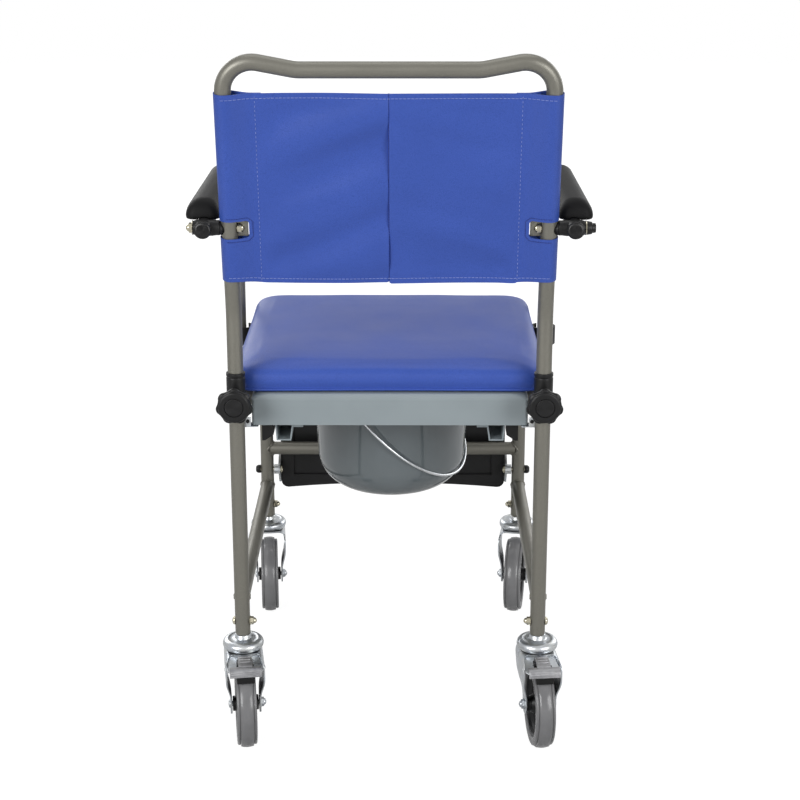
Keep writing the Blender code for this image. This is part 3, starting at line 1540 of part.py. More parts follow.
def main():
    clear_scene()
    make_legs()
    make_cross_tubes()
    make_casters()
    make_seat_board()
    make_pail_runners()
    make_seat_clips()
    make_pail()
    make_cushion()
    make_collars_and_knobs()
    make_back_frame()
    make_sling()
    make_armrests()
    make_footrest()


main()
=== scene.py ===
"""Looks of the wheeled commode chair: finishes, soft goods, small fittings, light and camera.

Every piece is built in the row frame, in metres: +Z up, the chair faces -Y and its left is +X.
"""

import json
import math

import bmesh
import bpy
from mathutils import Matrix, Vector, noise
from mathutils.bvhtree import BVHTree


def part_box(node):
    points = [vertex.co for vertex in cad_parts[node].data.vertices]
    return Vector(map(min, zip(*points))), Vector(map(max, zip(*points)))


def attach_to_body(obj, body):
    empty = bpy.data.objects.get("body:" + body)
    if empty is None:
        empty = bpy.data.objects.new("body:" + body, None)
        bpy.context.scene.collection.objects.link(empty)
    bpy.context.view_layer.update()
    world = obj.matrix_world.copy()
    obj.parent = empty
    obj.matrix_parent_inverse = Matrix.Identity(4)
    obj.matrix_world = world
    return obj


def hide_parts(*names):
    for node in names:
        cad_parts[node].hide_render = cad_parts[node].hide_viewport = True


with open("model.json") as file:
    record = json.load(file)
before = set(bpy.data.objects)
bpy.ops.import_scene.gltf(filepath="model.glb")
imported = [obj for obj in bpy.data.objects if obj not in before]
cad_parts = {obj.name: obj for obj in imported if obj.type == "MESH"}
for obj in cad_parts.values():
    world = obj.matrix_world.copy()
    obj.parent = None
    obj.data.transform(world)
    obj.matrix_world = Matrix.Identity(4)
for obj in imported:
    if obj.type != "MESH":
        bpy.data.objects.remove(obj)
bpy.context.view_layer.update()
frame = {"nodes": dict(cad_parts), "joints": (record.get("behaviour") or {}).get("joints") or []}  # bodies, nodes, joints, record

SIDES = (("left", 1), ("right", -1))
CORNERS = ("rear_left", "rear_right", "front_left", "front_right")


def spot(node):
    """Middle of a CAD node's box."""
    low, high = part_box(node)
    return (low + high) / 2


# Frame sizes and places
TUBE_R = 0.011
TUBE_LAP = TUBE_R * 0.6  # how far a tube runs into the one that it is welded to
SEAT_TUBE_R = 0.010
ARM_TUBE_R = 0.008
BOLT_R = 0.0039  # shanks of the arm, axle and footrest bolts
RAIL_Z = 0.497
FRONT_BEND_R = 0.060
HALF_X = spot("rear_leg_left").x
REAR_Y = spot("rear_leg_left").y
FRONT_Y = spot("caster_head_front_left").y
LEG_BASE_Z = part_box("rear_leg_left")[0].z
LEG_TOP_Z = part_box("rear_leg_left")[1].z
STRETCHER_Z = spot("side_stretcher_left").z
FRONT_CROSS_Z = spot("front_cross_tube").z
FOOT_AXIS_Z = spot("footrest_pivot_left").z
LEG_BOLT_Z = 0.181

# Backrest
LEAN = math.radians(10.75)
LEAN_START_Z = LEG_TOP_Z + 0.097
LEAN_BEND_R = 0.150
BACK_RISE = 0.352
HANDLE_CORNER_R = 0.043
HANDLE_DIP = 0.0115
HANDLE_DIP_R = 0.060
HANDLE_MIDDLE = 0.240
SPIGOT_R = 0.0091
SPIGOT_LENGTH = 0.058
SLING_LOW = 0.0474
SLING_HIGH = 0.3161
SLING_HEM_ROWS = (SLING_LOW + 0.0062, SLING_HIGH - 0.0068)
SLING_SEAM_X = 0.174
SLING_HEM_X = 0.1655
SLING_HALF_T = 0.0006
SLING_PANEL_OUT = 0.0024
SLEEVE_R = 0.0122
WINDOW_X = 0.188
WINDOW_HALF = 0.0125

# Armrests
ARM_X = spot("arm_tube_left").x
ARM_Z = spot("arm_pivot_bolt_left").z
ARM_Y = spot("arm_pivot_bolt_left").y
ARM_POST_Y = REAR_Y - 0.430
ARM_BEND_R = 0.065
ARM_FOOT_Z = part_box("arm_tube_left")[0].z
PIVOT_ALONG = (ARM_Z - LEAN_START_Z) / math.cos(LEAN)
TEE_R = 0.012
TEE_SLEEVE_R = 0.01025

# Casters, with the wheel trailing behind the swivel axis
WHEEL_R = 0.0635
TRAIL = 0.0294
TYRE_HALF = 0.01425
RIB_HALF = 0.0095
HUB_BOSS_HALF = 0.01875
FORK_INNER = 0.01975
FORK_T = 0.0025
FORK_LUG_R = 0.015
CROWN_HALF = 0.0285
CROWN_TOP = 0.1385
HEAD_BASE = 0.1400
HEAD_TOP = 0.1545
PLATE_Z = 2 * WHEEL_R + 0.0040
EAR_Z = 2 * WHEEL_R - 0.009
PEDAL_REACH = 0.070

# Cushion
CUSHION_CORNER_R = 0.036
CUSHION_SIDE_H = 0.036
CUSHION_SWELL_CAP = 0.003
CUSHION_OVERHANG = 0.005
CLOTH_FRAMES = 20

# Camera, behind the chair
CAMERA_PLACE = (-0.0233, 2.3896, 1.2299)
CAMERA_TILT = 0.2800
CAMERA_HEADING = -0.00405
CAMERA_LENS = 73.86
CAMERA_SHIFT_UP = -0.07

# Studio: soft boxes as (name, place, aim, size, power), and the strengths of surround and floor
SOFT_BOXES = (
    ("key_softbox", (1.9, 2.6, 1.65), (0, 0.1, 0.6), (1.7, 1.7), 64),
    ("second_softbox", (-2.1, 2.4, 1.45), (0, 0.1, 0.6), (1.5, 1.7), 46),
    ("overhead_softbox", (0.0, -0.3, 2.7), (0, 0, 0.4), (1.6, 1.2), 8),
    ("front_softbox", (1.7, -2.4, 1.8), (0, 0, 0.5), (1.8, 1.6), 27),
    ("front_second_softbox", (-2.0, -2.2, 1.5), (0, 0, 0.5), (1.8, 1.6), 21),
)
SURROUND = 0.20
SURROUND_IN_GLOSS = 0.50
FLOOR_R = 9.0
FLOOR_GLOW = 1.16
WHITE = (1, 1, 1, 1)


def linear(hex_colour):
    """An sRGB hex colour as linear red, green, blue and alpha."""
    channels = [int(hex_colour[i : i + 2], 16) / 255 for i in (1, 3, 5)]
    return [c / 12.92 if c <= 0.04045 else ((c + 0.055) / 1.055) ** 2.4 for c in channels] + [1.0]


def per_metre(size_mm):
    """Texture scale whose cells are about that many millimetres across."""
    return 1000.0 / size_mm


def add(tree, kind, settings=(), links=()):
    """Adds a node. Settings are (property, value) pairs, links are (input, value or socket) pairs."""
    node = tree.nodes.new(kind)
    for name, value in settings:
        setattr(node, name, value)
    for name, value in links:
        if isinstance(value, bpy.types.NodeSocket):
            tree.links.new(value, node.inputs[name])
        else:
            node.inputs[name].default_value = value
    return node


def finish(name, colour, roughness, **even):
    """A material with its even values set on its shader, and the place on the piece to pattern it by."""
    material = bpy.data.materials.new(name)
    material.use_nodes = True
    tree = material.node_tree
    shader = tree.nodes["Principled BSDF"]
    shader.inputs["Base Color"].default_value = linear(colour)
    shader.inputs["Roughness"].default_value = roughness
    for socket, value in even.items():
        shader.inputs[socket.replace("_", " ")].default_value = value
    place = tree.nodes.new("ShaderNodeTexCoord").outputs["Object"]
    return material, tree, shader, place


def varied(made, tint=None, rough=None, relief=None):
    """Lets noise drift over a finish, in cells of a size in mm and with a detail, which come first.

    Tint goes on with two colours, rough with the least and most roughness, relief with the bump's
    strength and its height in metres. Drifts with the same cells share them.
    """
    material, tree, shader, place = made
    shared = {}
    for drift, socket in ((tint, "Base Color"), (rough, "Roughness"), (relief, "Normal")):
        if not drift:
            continue
        size_mm, detail, low, high = drift
        if (size_mm, detail) not in shared:
            links = [("Vector", place), ("Scale", per_metre(size_mm)), ("Detail", detail)]
            shared[size_mm, detail] = add(tree, "ShaderNodeTexNoise", [], links).outputs["Fac"]
        cells = shared[size_mm, detail]
        if socket == "Base Color":
            links = [(0, cells), (6, linear(low)), (7, linear(high))]
            out = add(tree, "ShaderNodeMix", [("data_type", "RGBA")], links).outputs[2]
        elif socket == "Roughness":
            links = [("Value", cells), ("From Min", 0.3), ("From Max", 0.7)]
            links += [("To Min", low), ("To Max", high)]
            out = add(tree, "ShaderNodeMapRange", [], links).outputs["Result"]
        else:
            links = [("Strength", low), ("Distance", high), ("Height", cells)]
            out = add(tree, "ShaderNodeBump", [], links).outputs["Normal"]
        tree.links.new(out, shader.inputs[socket])
    return material


def powder_coated_steel():
    """Metallic powder coat baked on steel tube: fine flake under a slightly orange-peeled skin."""
    made = finish("powder_coated_steel", "#747268", 0.44, Metallic=0.5, Coat_Weight=0.12, Coat_Roughness=0.3)
    flake = (0.9, 2.0, "#696760", "#8a887e")
    return varied(made, flake, rough=(45.0, 3.0, 0.38, 0.50), relief=(2.2, 1.0, 0.10, 0.0002))


def zinc_plated_steel():
    """Pressed steel in bright zinc: clear passivation that drifts a little blue, with fine press marks."""
    made = finish("zinc_plated_steel", "#c3c7cc", 0.32, Metallic=1.0)
    drift = (14.0, 3.0, "#b4bcc9", "#d3d3cd")
    return varied(made, drift, rough=(14.0, 3.0, 0.25, 0.40), relief=(1.6, 4.0, 0.12, 0.0002))


def yellow_passivated_zinc():
    """Nuts and screws with a faint yellow passivation over bright zinc."""
    made = finish("yellow_passivated_zinc", "#c8bf9f", 0.22, Metallic=1.0)
    return varied(made, (4.0, 2.0, "#b9b196", "#d6d2c2"))


def rolled_zinc_steel():
    """Thick pressed steel under dull zinc: its rolled grain shows as grey clouds, as on a brake pedal."""
    made = finish("rolled_zinc_steel", "#a4a4a6", 0.36, Metallic=1.0)
    return varied(made, (7.0, 4.0, "#8e8e91", "#bbbbbd"), rough=(7.0, 4.0, 0.28, 0.45))


def drawn_steel_wire():
    """Hard-drawn bright wire: a near mirror sheen, dulled in patches by the drawing die."""
    made = finish("drawn_steel_wire", "#d2d5d8", 0.20, Metallic=1.0)
    return varied(made, rough=(2.5, 3.0, 0.14, 0.28))


def moulded_plastic(name, colour, pale, roughness, grain_mm, grain_depth, gloss=0.5):
    """Injection-moulded plastic: an even colour with slight flow clouds and the mould's spark texture."""
    made = finish(name, colour, roughness, IOR=1.5, Specular_IOR_Level=gloss)
    flow = (60.0, 2.0)
    wear = (*flow, roughness * 0.88, roughness * 1.12)
    return varied(made, (*flow, colour, pale), rough=wear, relief=(grain_mm, 2.0, grain_depth, 0.0003))


def turned_nylon():
    """Nylon faced on a lathe: its fine rings fan each highlight out from the middle."""
    material = moulded_plastic("turned_black_nylon", "#0b0b0c", "#131314", 0.28, 2.0, 0.05, gloss=0.35)
    tree = material.node_tree
    shader = tree.nodes["Principled BSDF"]
    shader.inputs["Anisotropic"].default_value = 0.8
    rings = add(tree, "ShaderNodeTangent", [("direction_type", "RADIAL"), ("axis", "Y")])
    tree.links.new(rings.outputs["Tangent"], shader.inputs["Tangent"])
    return material


def coated_vinyl():
    """PVC-coated fabric: calendered leather grain, a satin skin and slight, broad shifts of tone."""
    made = finish("coated_vinyl", "#3e59b2", 0.38, IOR=1.5, Specular_IOR_Level=0.36)
    material, tree, shader, place = made
    varied(made, rough=(90.0, 3.0, 0.33, 0.42))
    links = [("Vector", place), ("Scale", per_metre(1.5))]
    cells = add(tree, "ShaderNodeTexVoronoi", [("feature", "DISTANCE_TO_EDGE")], links)
    links = [("Value", cells.outputs["Distance"]), ("From Min", 0.0), ("From Max", 0.22)]
    crease = add(tree, "ShaderNodeMapRange", [], links).outputs["Result"]
    links = [("Vector", place), ("Scale", per_metre(90.0)), ("Detail", 3.0)]
    cloud = add(tree, "ShaderNodeTexNoise", [], links)
    links = [(0, cloud.outputs["Fac"]), (6, linear("#3955ac")), (7, linear("#4462bf"))]
    tone = add(tree, "ShaderNodeMix", [("data_type", "RGBA")], links)
    links = [(0, crease), (6, linear("#344fa2")), (7, tone.outputs[2])]
    grained = add(tree, "ShaderNodeMix", [("data_type", "RGBA")], links)
    tree.links.new(grained.outputs[2], shader.inputs["Base Color"])
    links = [("Vector", place), ("Scale", per_metre(0.8)), ("Detail", 3.0)]
    fine = add(tree, "ShaderNodeTexNoise", [], links)
    links = [(0, fine.outputs["Fac"]), (1, 0.35), (2, crease)]
    relief = add(tree, "ShaderNodeMath", [("operation", "MULTIPLY_ADD")], links)
    links = [("Strength", 0.22), ("Distance", 0.0003), ("Height", relief.outputs["Value"])]
    bump = add(tree, "ShaderNodeBump", [], links)
    tree.links.new(bump.outputs["Normal"], shader.inputs["Normal"])
    return material


def self_skinned_foam():
    """Polyurethane foam moulded with its own skin: matt black with a soft pebble."""
    made = finish("self_skinned_foam", "#111112", 0.56, IOR=1.5, Specular_IOR_Level=0.14)
    material, tree, shader, place = made
    pebble = add(tree, "ShaderNodeTexVoronoi", [], [("Vector", place), ("Scale", per_metre(1.1))])
    links = [("Strength", 0.30), ("Distance", 0.0003), ("Height", pebble.outputs["Distance"])]
    bump = add(tree, "ShaderNodeBump", [], links)
    tree.links.new(bump.outputs["Normal"], shader.inputs["Normal"])
    return varied(made, (25.0, 3.0, "#0f0f10", "#181819"))


def tyre_rubber():
    """Grey thermoplastic rubber: smooth from the mould, with a trace of dust on the tread."""
    made = finish("tyre_rubber", "#78787b", 0.26, IOR=1.5)
    return varied(made, (18.0, 5.0, "#6f6f71", "#868687"), rough=(18.0, 5.0, 0.15, 0.27))


def sewing_thread(name, dark, pale):
    """Bonded polyester thread: its twist shows as fine dark and pale flecks."""
    return varied(finish(name, dark, 0.55, IOR=1.5), (0.7, 1.0, dark, pale))


STEEL_COAT = powder_coated_steel()
ZINC = zinc_plated_steel()
DULL_ZINC = rolled_zinc_steel()
NUT_ZINC = yellow_passivated_zinc()
WIRE = drawn_steel_wire()
BOARD_PLASTIC = moulded_plastic("moulded_abs_grey", "#8c969a", "#98a2a6", 0.34, 1.2, 0.10)
PAIL_PLASTIC = moulded_plastic("polypropylene_grey", "#626a6d", "#6d7579", 0.08, 9.0, 0.03, gloss=0.65)
BLACK_NYLON = moulded_plastic("black_nylon", "#131313", "#1c1c1d", 0.38, 0.9, 0.25, gloss=0.28)
TURNED_NYLON = turned_nylon()
HUB_NYLON = moulded_plastic("hub_nylon", "#0e0e0f", "#171718", 0.36, 1.0, 0.15, gloss=0.30)
SHOE_RUBBER = moulded_plastic("brake_shoe_rubber", "#101010", "#191919", 0.60, 0.9, 0.30, gloss=0.25)
VINYL = coated_vinyl()
FOAM = self_skinned_foam()
RUBBER = tyre_rubber()
PALE_THREAD = sewing_thread("pale_blue_thread", "#8090cf", "#a3b0e2")
# Thread for the seam and window rows: painted navy as a stand-in for the shade in its stitch holes.
HOLE_SHADE_THREAD = sewing_thread("thread_painted_hole_shade", "#1c2a6e", "#2c3d8c")


def in_scene(name, data):
    """An object of that data, linked into the scene."""
    obj = bpy.data.objects.new(name, data)
    bpy.context.scene.collection.objects.link(obj)
    return obj


def attach(obj, body, node=None):
    """Rides the piece on a body and stands it for a CAD node."""
    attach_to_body(obj, body)
    if node:
        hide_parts(node)


def piece(name, bm, material, body=None, node=None, sharp_deg=40.0, bevel=0.0):
    """An object from a bmesh in the row frame, attached to a body where one is named."""
    bmesh.ops.remove_doubles(bm, verts=bm.verts, dist=1e-7)
    bmesh.ops.recalc_face_normals(bm, faces=bm.faces)
    mesh = bpy.data.meshes.new(name)
    bm.to_mesh(mesh)
    bm.free()
    mesh.materials.append(material)
    mesh.shade_smooth()
    mesh.set_sharp_from_angle(angle=math.radians(sharp_deg))
    obj = in_scene(name, mesh)
    if bevel:
        round_edges(obj, bevel)
    if body:
        attach(obj, body, node)
    return obj


def round_edges(obj, width, segments=2, limit_deg=35.0):
    """Small rounds on the edges that are sharper than the limit."""
    edge = obj.modifiers.new("edge", "BEVEL")
    edge.width = width
    edge.segments = segments
    edge.limit_method = "ANGLE"
    edge.angle_limit = math.radians(limit_deg)


def subdivide(obj):
    """Rounds the piece's facets off with one level of subdivision."""
    smooth = obj.modifiers.new("smooth", "SUBSURF")
    smooth.levels = smooth.render_levels = 1


def bake(obj):
    """Applies the object's modifiers to its mesh."""
    depsgraph = bpy.context.evaluated_depsgraph_get()
    made = bpy.data.meshes.new_from_object(obj.evaluated_get(depsgraph))
    obj.modifiers.clear()
    obj.data = made


def cut_away(obj, cutters, rounded=0.0):
    """Cuts closed shapes out of the object, and rounds the cut's edges where a width is given."""
    for cutter in cutters:
        cut = obj.modifiers.new("cut", "BOOLEAN")
        cut.object = cutter
        cut.operation = "DIFFERENCE"
    if rounded:
        round_edges(obj, rounded, 3, 50.0)
    bake(obj)
    for cutter in cutters:
        bpy.data.objects.remove(cutter, do_unlink=True)


def smooth_share(value, low, high):
    """0 below low, 1 above high, and a smooth rise between them."""
    t = min(max((value - low) / (high - low), 0.0), 1.0)
    return t * t * (3 - 2 * t)


def spaced(marks, pitch):
    """Values from the first mark to the last, through every mark, no further apart than the pitch."""
    values = [marks[0]]
    for start, end in zip(marks, marks[1:]):
        steps = max(1, math.ceil((end - start) / pitch))
        values += [start + (end - start) * (i + 1) / steps for i in range(steps)]
    return values


def arc(centre, radius, start_deg, end_deg, steps):
    """Points of a flat arc, both ends included."""
    points = []
    for i in range(steps + 1):
        turn = math.radians(start_deg + (end_deg - start_deg) * i / steps)
        points.append((centre[0] + radius * math.cos(turn), centre[1] + radius * math.sin(turn)))
    return points


def rounded_rectangle(half_a, half_b, radius, steps=8):
    """A flat outline about the origin with its four corners rounded."""
    points = []
    for sign_a, sign_b, start in ((1, 1, 0), (-1, 1, 90), (-1, -1, 180), (1, -1, 270)):
        middle = (sign_a * (half_a - radius), sign_b * (half_b - radius))
        points += arc(middle, radius, start, start + 90, steps)
    return points


def filleted(corners, radii, step_deg=6.0):
    """The corners joined by straight runs, with each inner corner rounded to its radius."""
    corners = [Vector(corner) for corner in corners]
    points = [corners[0]]
    for before, corner, after, radius in zip(corners, corners[1:], corners[2:], radii):
        back = (before - corner).normalized()
        ahead = (after - corner).normalized()
        turn = math.pi - back.angle(ahead)
        if turn < 1e-3 or radius < 1e-6:
            points.append(corner)
            continue
        room = (before - corner).length * 0.49, (after - corner).length * 0.49
        reach = min(radius * math.tan(turn / 2), *room)
        radius = reach / math.tan(turn / 2)
        centre = corner + (back + ahead).normalized() * (radius / math.cos(turn / 2))
        start = corner + back * reach - centre
        axis = start.cross(corner + ahead * reach - centre).normalized()
        steps = max(2, round(math.degrees(turn) / step_deg))
        for i in range(steps + 1):
            points.append(centre + Matrix.Rotation(turn * i / steps, 3, axis) @ start)
    points.append(corners[-1])
    return points


def ring(bm, centre, side, up, radius, sides):
    """A round loop of points about a centre."""
    turn = 2 * math.pi / sides
    return [
        bm.verts.new(centre + side * (radius * math.cos(turn * i)) + up * (radius * math.sin(turn * i)))
        for i in range(sides)
    ]


def skin(bm, first, second):
    """Quads between two loops of equal count, or a fan where one of them is a single point."""
    count = max(len(first), len(second))
    for i in range(count):
        j = (i + 1) % count
        if len(first) == 1:
            bm.faces.new((first[0], second[j], second[i]))
        elif len(second) == 1:
            bm.faces.new((first[i], first[j], second[0]))
        else:
            bm.faces.new((first[i], first[j], second[j], second[i]))


def loft(bm, loops):
    """Loops of equal count skinned in turn, with the first and the last filled."""
    for first, second in zip(loops, loops[1:]):
        skin(bm, first, second)
    bm.faces.new(loops[0])
    bm.faces.new(loops[-1])


def open_sheet(bm, rows):
    """Quads between neighbouring rows of points."""
    for first, second in zip(rows, rows[1:]):
        for k in range(len(first) - 1):
            bm.faces.new((first[k], first[k + 1], second[k + 1], second[k]))


def sweep(bm, path, radius, sides=36, closed=False, radii=None):
    """A round bar along a path, capped unless the path is closed."""
    path = [Vector(point) for point in path]
    count = len(path)
    tangents = []
    for i in range(count):
        if closed:
            ahead, behind = path[(i + 1) % count], path[i - 1]
        else:
            ahead, behind = path[min(i + 1, count - 1)], path[max(i - 1, 0)]
        tangents.append((ahead - behind).normalized())
    side = tangents[0].orthogonal().normalized()
    rings = []
    for i, (point, tangent) in enumerate(zip(path, tangents)):
        side = (side - tangent * side.dot(tangent)).normalized()
        rings.append(ring(bm, point, side, tangent.cross(side), radii[i] if radii else radius, sides))
    for first, second in zip(rings, rings[1:]):
        skin(bm, first, second)
    if closed:
        last, first = rings[-1], rings[0]
        nearest = min(range(sides), key=lambda k: (last[k].co - first[0].co).length)
        skin(bm, last[nearest:] + last[:nearest], first)
    else:
        bm.faces.new(rings[0])
        bm.faces.new(rings[-1])


def lathe(bm, profile, matrix=Matrix.Identity(4), steps=48, ease=0.0):
    """A turned form from (radius, height) points about Z, corners eased to a radius, then placed."""
    if ease:
        eased = filleted([(r, h, 0.0) for r, h in profile], [ease] * (len(profile) - 2), 30.0)
        profile = [(max(point.x, 0.0), point.y) for point in eased]
    rings = []
    for radius, height in profile:
        points = []
        for i in range(1 if radius < 1e-6 else steps):
            turn = 2 * math.pi * i / steps
            place = Vector((radius * math.cos(turn), radius * math.sin(turn), height))
            points.append(bm.verts.new(matrix @ place))
        rings.append(points)
    for first, second in zip(rings, rings[1:]):
        if len(first) > 1 or len(second) > 1:
            skin(bm, first, second)
    if len(rings[0]) > 1 and len(rings[-1]) > 1:
        skin(bm, rings[-1], rings[0])


def turned(name, profile, at, steps, ease, material, body, node=None, sharp_deg=40.0):
    """A piece that is one turned form."""
    bm = bmesh.new()
    lathe(bm, profile, at, steps, ease)
    return piece(name, bm, material, body, node, sharp_deg)


def prism(bm, outline, low, high, matrix=Matrix.Identity(4)):
    """A flat outline of (x, y) points raised from one height to another, then placed."""
    loft(bm, [[bm.verts.new(matrix @ Vector((a, b, z))) for a, b in outline] for z in (low, high)])


def along_axis(point, direction):
    """A matrix whose Z runs along a direction from a point."""
    turn = Vector(direction).to_track_quat("Z", "Y").to_matrix().to_4x4()
    return Matrix.Translation(Vector(point)) @ turn


def crosswise(x):
    """A matrix that stands a (back, up) outline on edge, with its thickness across from x."""
    return Matrix(((0, 0, 1, x), (1, 0, 0, 0), (0, 1, 0, 0), (0, 0, 0, 1)))


def leaned(x, along, out=0.0):
    """A point of the leaning backrest: across, up along the uprights, and out of its plane to the rear."""
    y = REAR_Y + along * math.sin(LEAN) + out * math.cos(LEAN)
    return Vector((x, y, LEAN_START_Z + along * math.cos(LEAN) - out * math.sin(LEAN)))


def leaned_plate(bm, sign, outline, low, high):
    """A flat outline of (across, along) points raised out of the backrest's plane."""
    loft(bm, [[bm.verts.new(leaned(sign * a, b, out)) for a, b in outline] for out in (low, high)])


def disc(radius, height):
    """The profile of a flat round plate from a seat at 0."""
    return [(0, 0), (radius, 0), (radius, height), (0, height)]


def weld(bm, point, direction, upright, bead=0.0019, steps=56):
    """A rippled weld bead where a tube through a point, run along a direction, meets an upright tube."""
    direction = Vector(direction)
    side = direction.orthogonal().normalized()
    up = direction.cross(side)
    radius = TUBE_R * 0.985
    line = []
    for i in range(steps):
        turn = 2 * math.pi * i / steps
        start = Vector(point) + side * (radius * math.cos(turn)) + up * (radius * math.sin(turn))
        offset = start - Vector(upright)
        offset.z = 0.0
        a, b, c = direction.dot(direction), 2 * offset.dot(direction), offset.dot(offset) - TUBE_R * TUBE_R
        root = math.sqrt(max(b * b - 4 * a * c, 0.0))
        line.append(start + direction * ((-b - root) / (2 * a)))
    radii = [bead * (1 + 0.16 * math.sin(i * 2 * math.pi / 4)) for i in range(steps)]
    sweep(bm, line, bead, 8, closed=True, radii=radii)


def acorn_nut(bm, matrix, across=0.013, height=0.0085, washer=0.0):
    """A hexagon nut with a domed cap, on an optional washer, along Z from a seat at 0."""
    if washer:
        lathe(bm, disc(across * 0.66, washer), matrix, 32)
    hexagon = arc((0, 0), across / 2 / math.cos(math.pi / 6), 0, 300, 5)
    prism(bm, hexagon, washer, washer + height * 0.48, matrix)
    dome = [(0.0, washer + height)]
    for i in range(1, 9):
        turn = math.radians(90 * i / 8)
        dome.append((across * 0.42 * math.sin(turn), washer + height * (0.5 + 0.5 * math.cos(turn))))
    dome += [(across * 0.42, washer + height * 0.4), (0.0, washer + height * 0.4)]
    lathe(bm, dome, matrix, 24)


def dome_head(bm, matrix, radius, height):
    """A smooth domed bolt head along Z from a seat at 0."""
    profile = [(0.0, 0.0), (radius, 0.0), (radius, height * 0.25)]
    for i in range(1, 8):
        turn = math.radians(90 * i / 7)
        profile.append((radius * math.cos(turn) if i < 7 else 0.0, height * (0.25 + 0.75 * math.sin(turn))))
    lathe(bm, profile, matrix, 28)


def tube(name, path, radius, body, node, sides=36):
    """A powder-coated tube along a path, in place of a CAD node."""
    bm = bmesh.new()
    sweep(bm, path, radius, sides)
    piece(name, bm, STEEL_COAT, body, node)


def make_frame_tubes():
    """Legs, rails, stretchers and cross tubes, with the weld beads at the legs."""
    for side, sign in SIDES:
        x = sign * HALF_X
        upright = [(x, REAR_Y, LEG_BASE_Z), (x, REAR_Y, LEG_TOP_Z)]
        tube(f"leg_tube_rear_{side}", upright, TUBE_R, "frame", f"rear_leg_{side}")
        corners = [(x, FRONT_Y, LEG_BASE_Z), (x, FRONT_Y, RAIL_Z), (x, REAR_Y - TUBE_LAP, RAIL_Z)]
        bent = filleted(corners, [FRONT_BEND_R], 4.0)
        tube(f"leg_tube_front_{side}", bent, TUBE_R, "frame", f"front_leg_{side}")
        ends = [(x, REAR_Y - TUBE_LAP, STRETCHER_Z), (x, FRONT_Y + TUBE_LAP, STRETCHER_Z)]
        tube(f"stretcher_{side}", ends, TUBE_R, "frame", f"side_stretcher_{side}")
        bm = bmesh.new()
        for z in (STRETCHER_Z, RAIL_Z):
            weld(bm, (x, REAR_Y - 0.05, z), (0, 1, 0), (x, REAR_Y, z))
        weld(bm, (x, FRONT_Y + 0.05, STRETCHER_Z), (0, -1, 0), (x, FRONT_Y, 0))
        weld(bm, (x - sign * 0.05, FRONT_Y, FRONT_CROSS_Z), (sign, 0, 0), (x, FRONT_Y, 0))
        piece(f"welds_{side}", bm, STEEL_COAT, "frame")
    reach = HALF_X - TUBE_LAP
    ends = [(-reach, FRONT_Y, FRONT_CROSS_Z), (reach, FRONT_Y, FRONT_CROSS_Z)]
    tube("cross_tube_low", ends, TUBE_R, "frame", "front_cross_tube")
    for end in ("front", "rear"):
        node = f"seat_cross_tube_{end}"
        middle = spot(node)
        ends = [(-reach, middle.y, middle.z), (reach, middle.y, middle.z)]
        tube(f"seat_tube_{end}", ends, SEAT_TUBE_R, "frame", node)


def make_leg_bolts():
    """Bolts that cross each leg and hold its caster's stem: dome head outside, acorn nut inside."""
    for corner in CORNERS:
        head = spot(f"caster_head_{corner}")
        out = 1 if head.x > 0 else -1
        face = out * TUBE_R * 0.97
        bm = bmesh.new()
        dome_head(bm, along_axis((head.x + face, head.y, LEG_BOLT_Z), (out, 0, 0)), 0.0060, 0.0046)
        nut_at = along_axis((head.x - face, head.y, LEG_BOLT_Z), (-out, 0, 0))
        acorn_nut(bm, nut_at, 0.0105, 0.0092, 0.0009)
        piece(f"stem_bolt_{corner}", bm, NUT_ZINC, "frame")


def make_back_frame():
    """The backrest's single bent tube, which is also the push handle, and its spigots in the legs."""
    hump = BACK_RISE / math.cos(LEAN)
    lift = HANDLE_CORNER_R * 0.16
    dip = HANDLE_DIP / math.cos(LEAN)
    corners = [
        (HALF_X, REAR_Y, LEG_TOP_Z + 0.0003),
        leaned(HALF_X, 0),
        leaned(HALF_X, hump + lift),
        leaned(HANDLE_MIDDLE / 2, hump - dip),
        leaned(-HANDLE_MIDDLE / 2, hump - dip),
        leaned(-HALF_X, hump + lift),
        leaned(-HALF_X, 0),
        (-HALF_X, REAR_Y, LEG_TOP_Z + 0.0003),
    ]
    radii = [LEAN_BEND_R, HANDLE_CORNER_R, HANDLE_DIP_R, HANDLE_DIP_R, HANDLE_CORNER_R, LEAN_BEND_R]
    bm = bmesh.new()
    sweep(bm, filleted(corners, radii, 3.0), TUBE_R)
    for side, sign in SIDES:
        x = sign * HALF_X
        sweep(bm, [(x, REAR_Y, LEG_TOP_Z - SPIGOT_LENGTH), (x, REAR_Y, LEG_TOP_Z + 0.001)], SPIGOT_R)
    piece("back_tube", bm, STEEL_COAT, "backrest", "back_frame")


def make_collars():
    """Moulded collars over the tube joints, each with a boss to the rear for its knob."""
    bore, outer = TUBE_R + 0.0002, 0.01325
    for side, sign in SIDES:
        x = sign * HALF_X
        node = f"leg_collar_{side}"
        low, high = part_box(node)
        top = high.z
        bm = bmesh.new()
        profile = [(bore, low.z), (outer, low.z), (outer, top - 0.0080), (outer - 0.0006, top - 0.0070)]
        profile += [(outer - 0.0006, top - 0.0056), (outer + 0.0001, top - 0.0048)]
        profile += [(outer + 0.0001, top - 0.0008), (outer - 0.0008, top), (bore, top)]
        lathe(bm, profile, Matrix.Translation((x, REAR_Y, 0)), 48, 0.0005)
        rear = along_axis((x, REAR_Y, spot(f"clamp_knob_{side}").z), (0, 1, 0))
        boss = [(0.0045, 0.0118), (0.0125, 0.0095), (0.0108, 0.0135), (0.0100, 0.0165)]
        boss += [(0.0100, high.y - REAR_Y), (0.0045, high.y - REAR_Y)]
        lathe(bm, boss, rear, 40, 0.0008)
        piece(f"clamp_collar_{side}", bm, BLACK_NYLON, "frame", node)


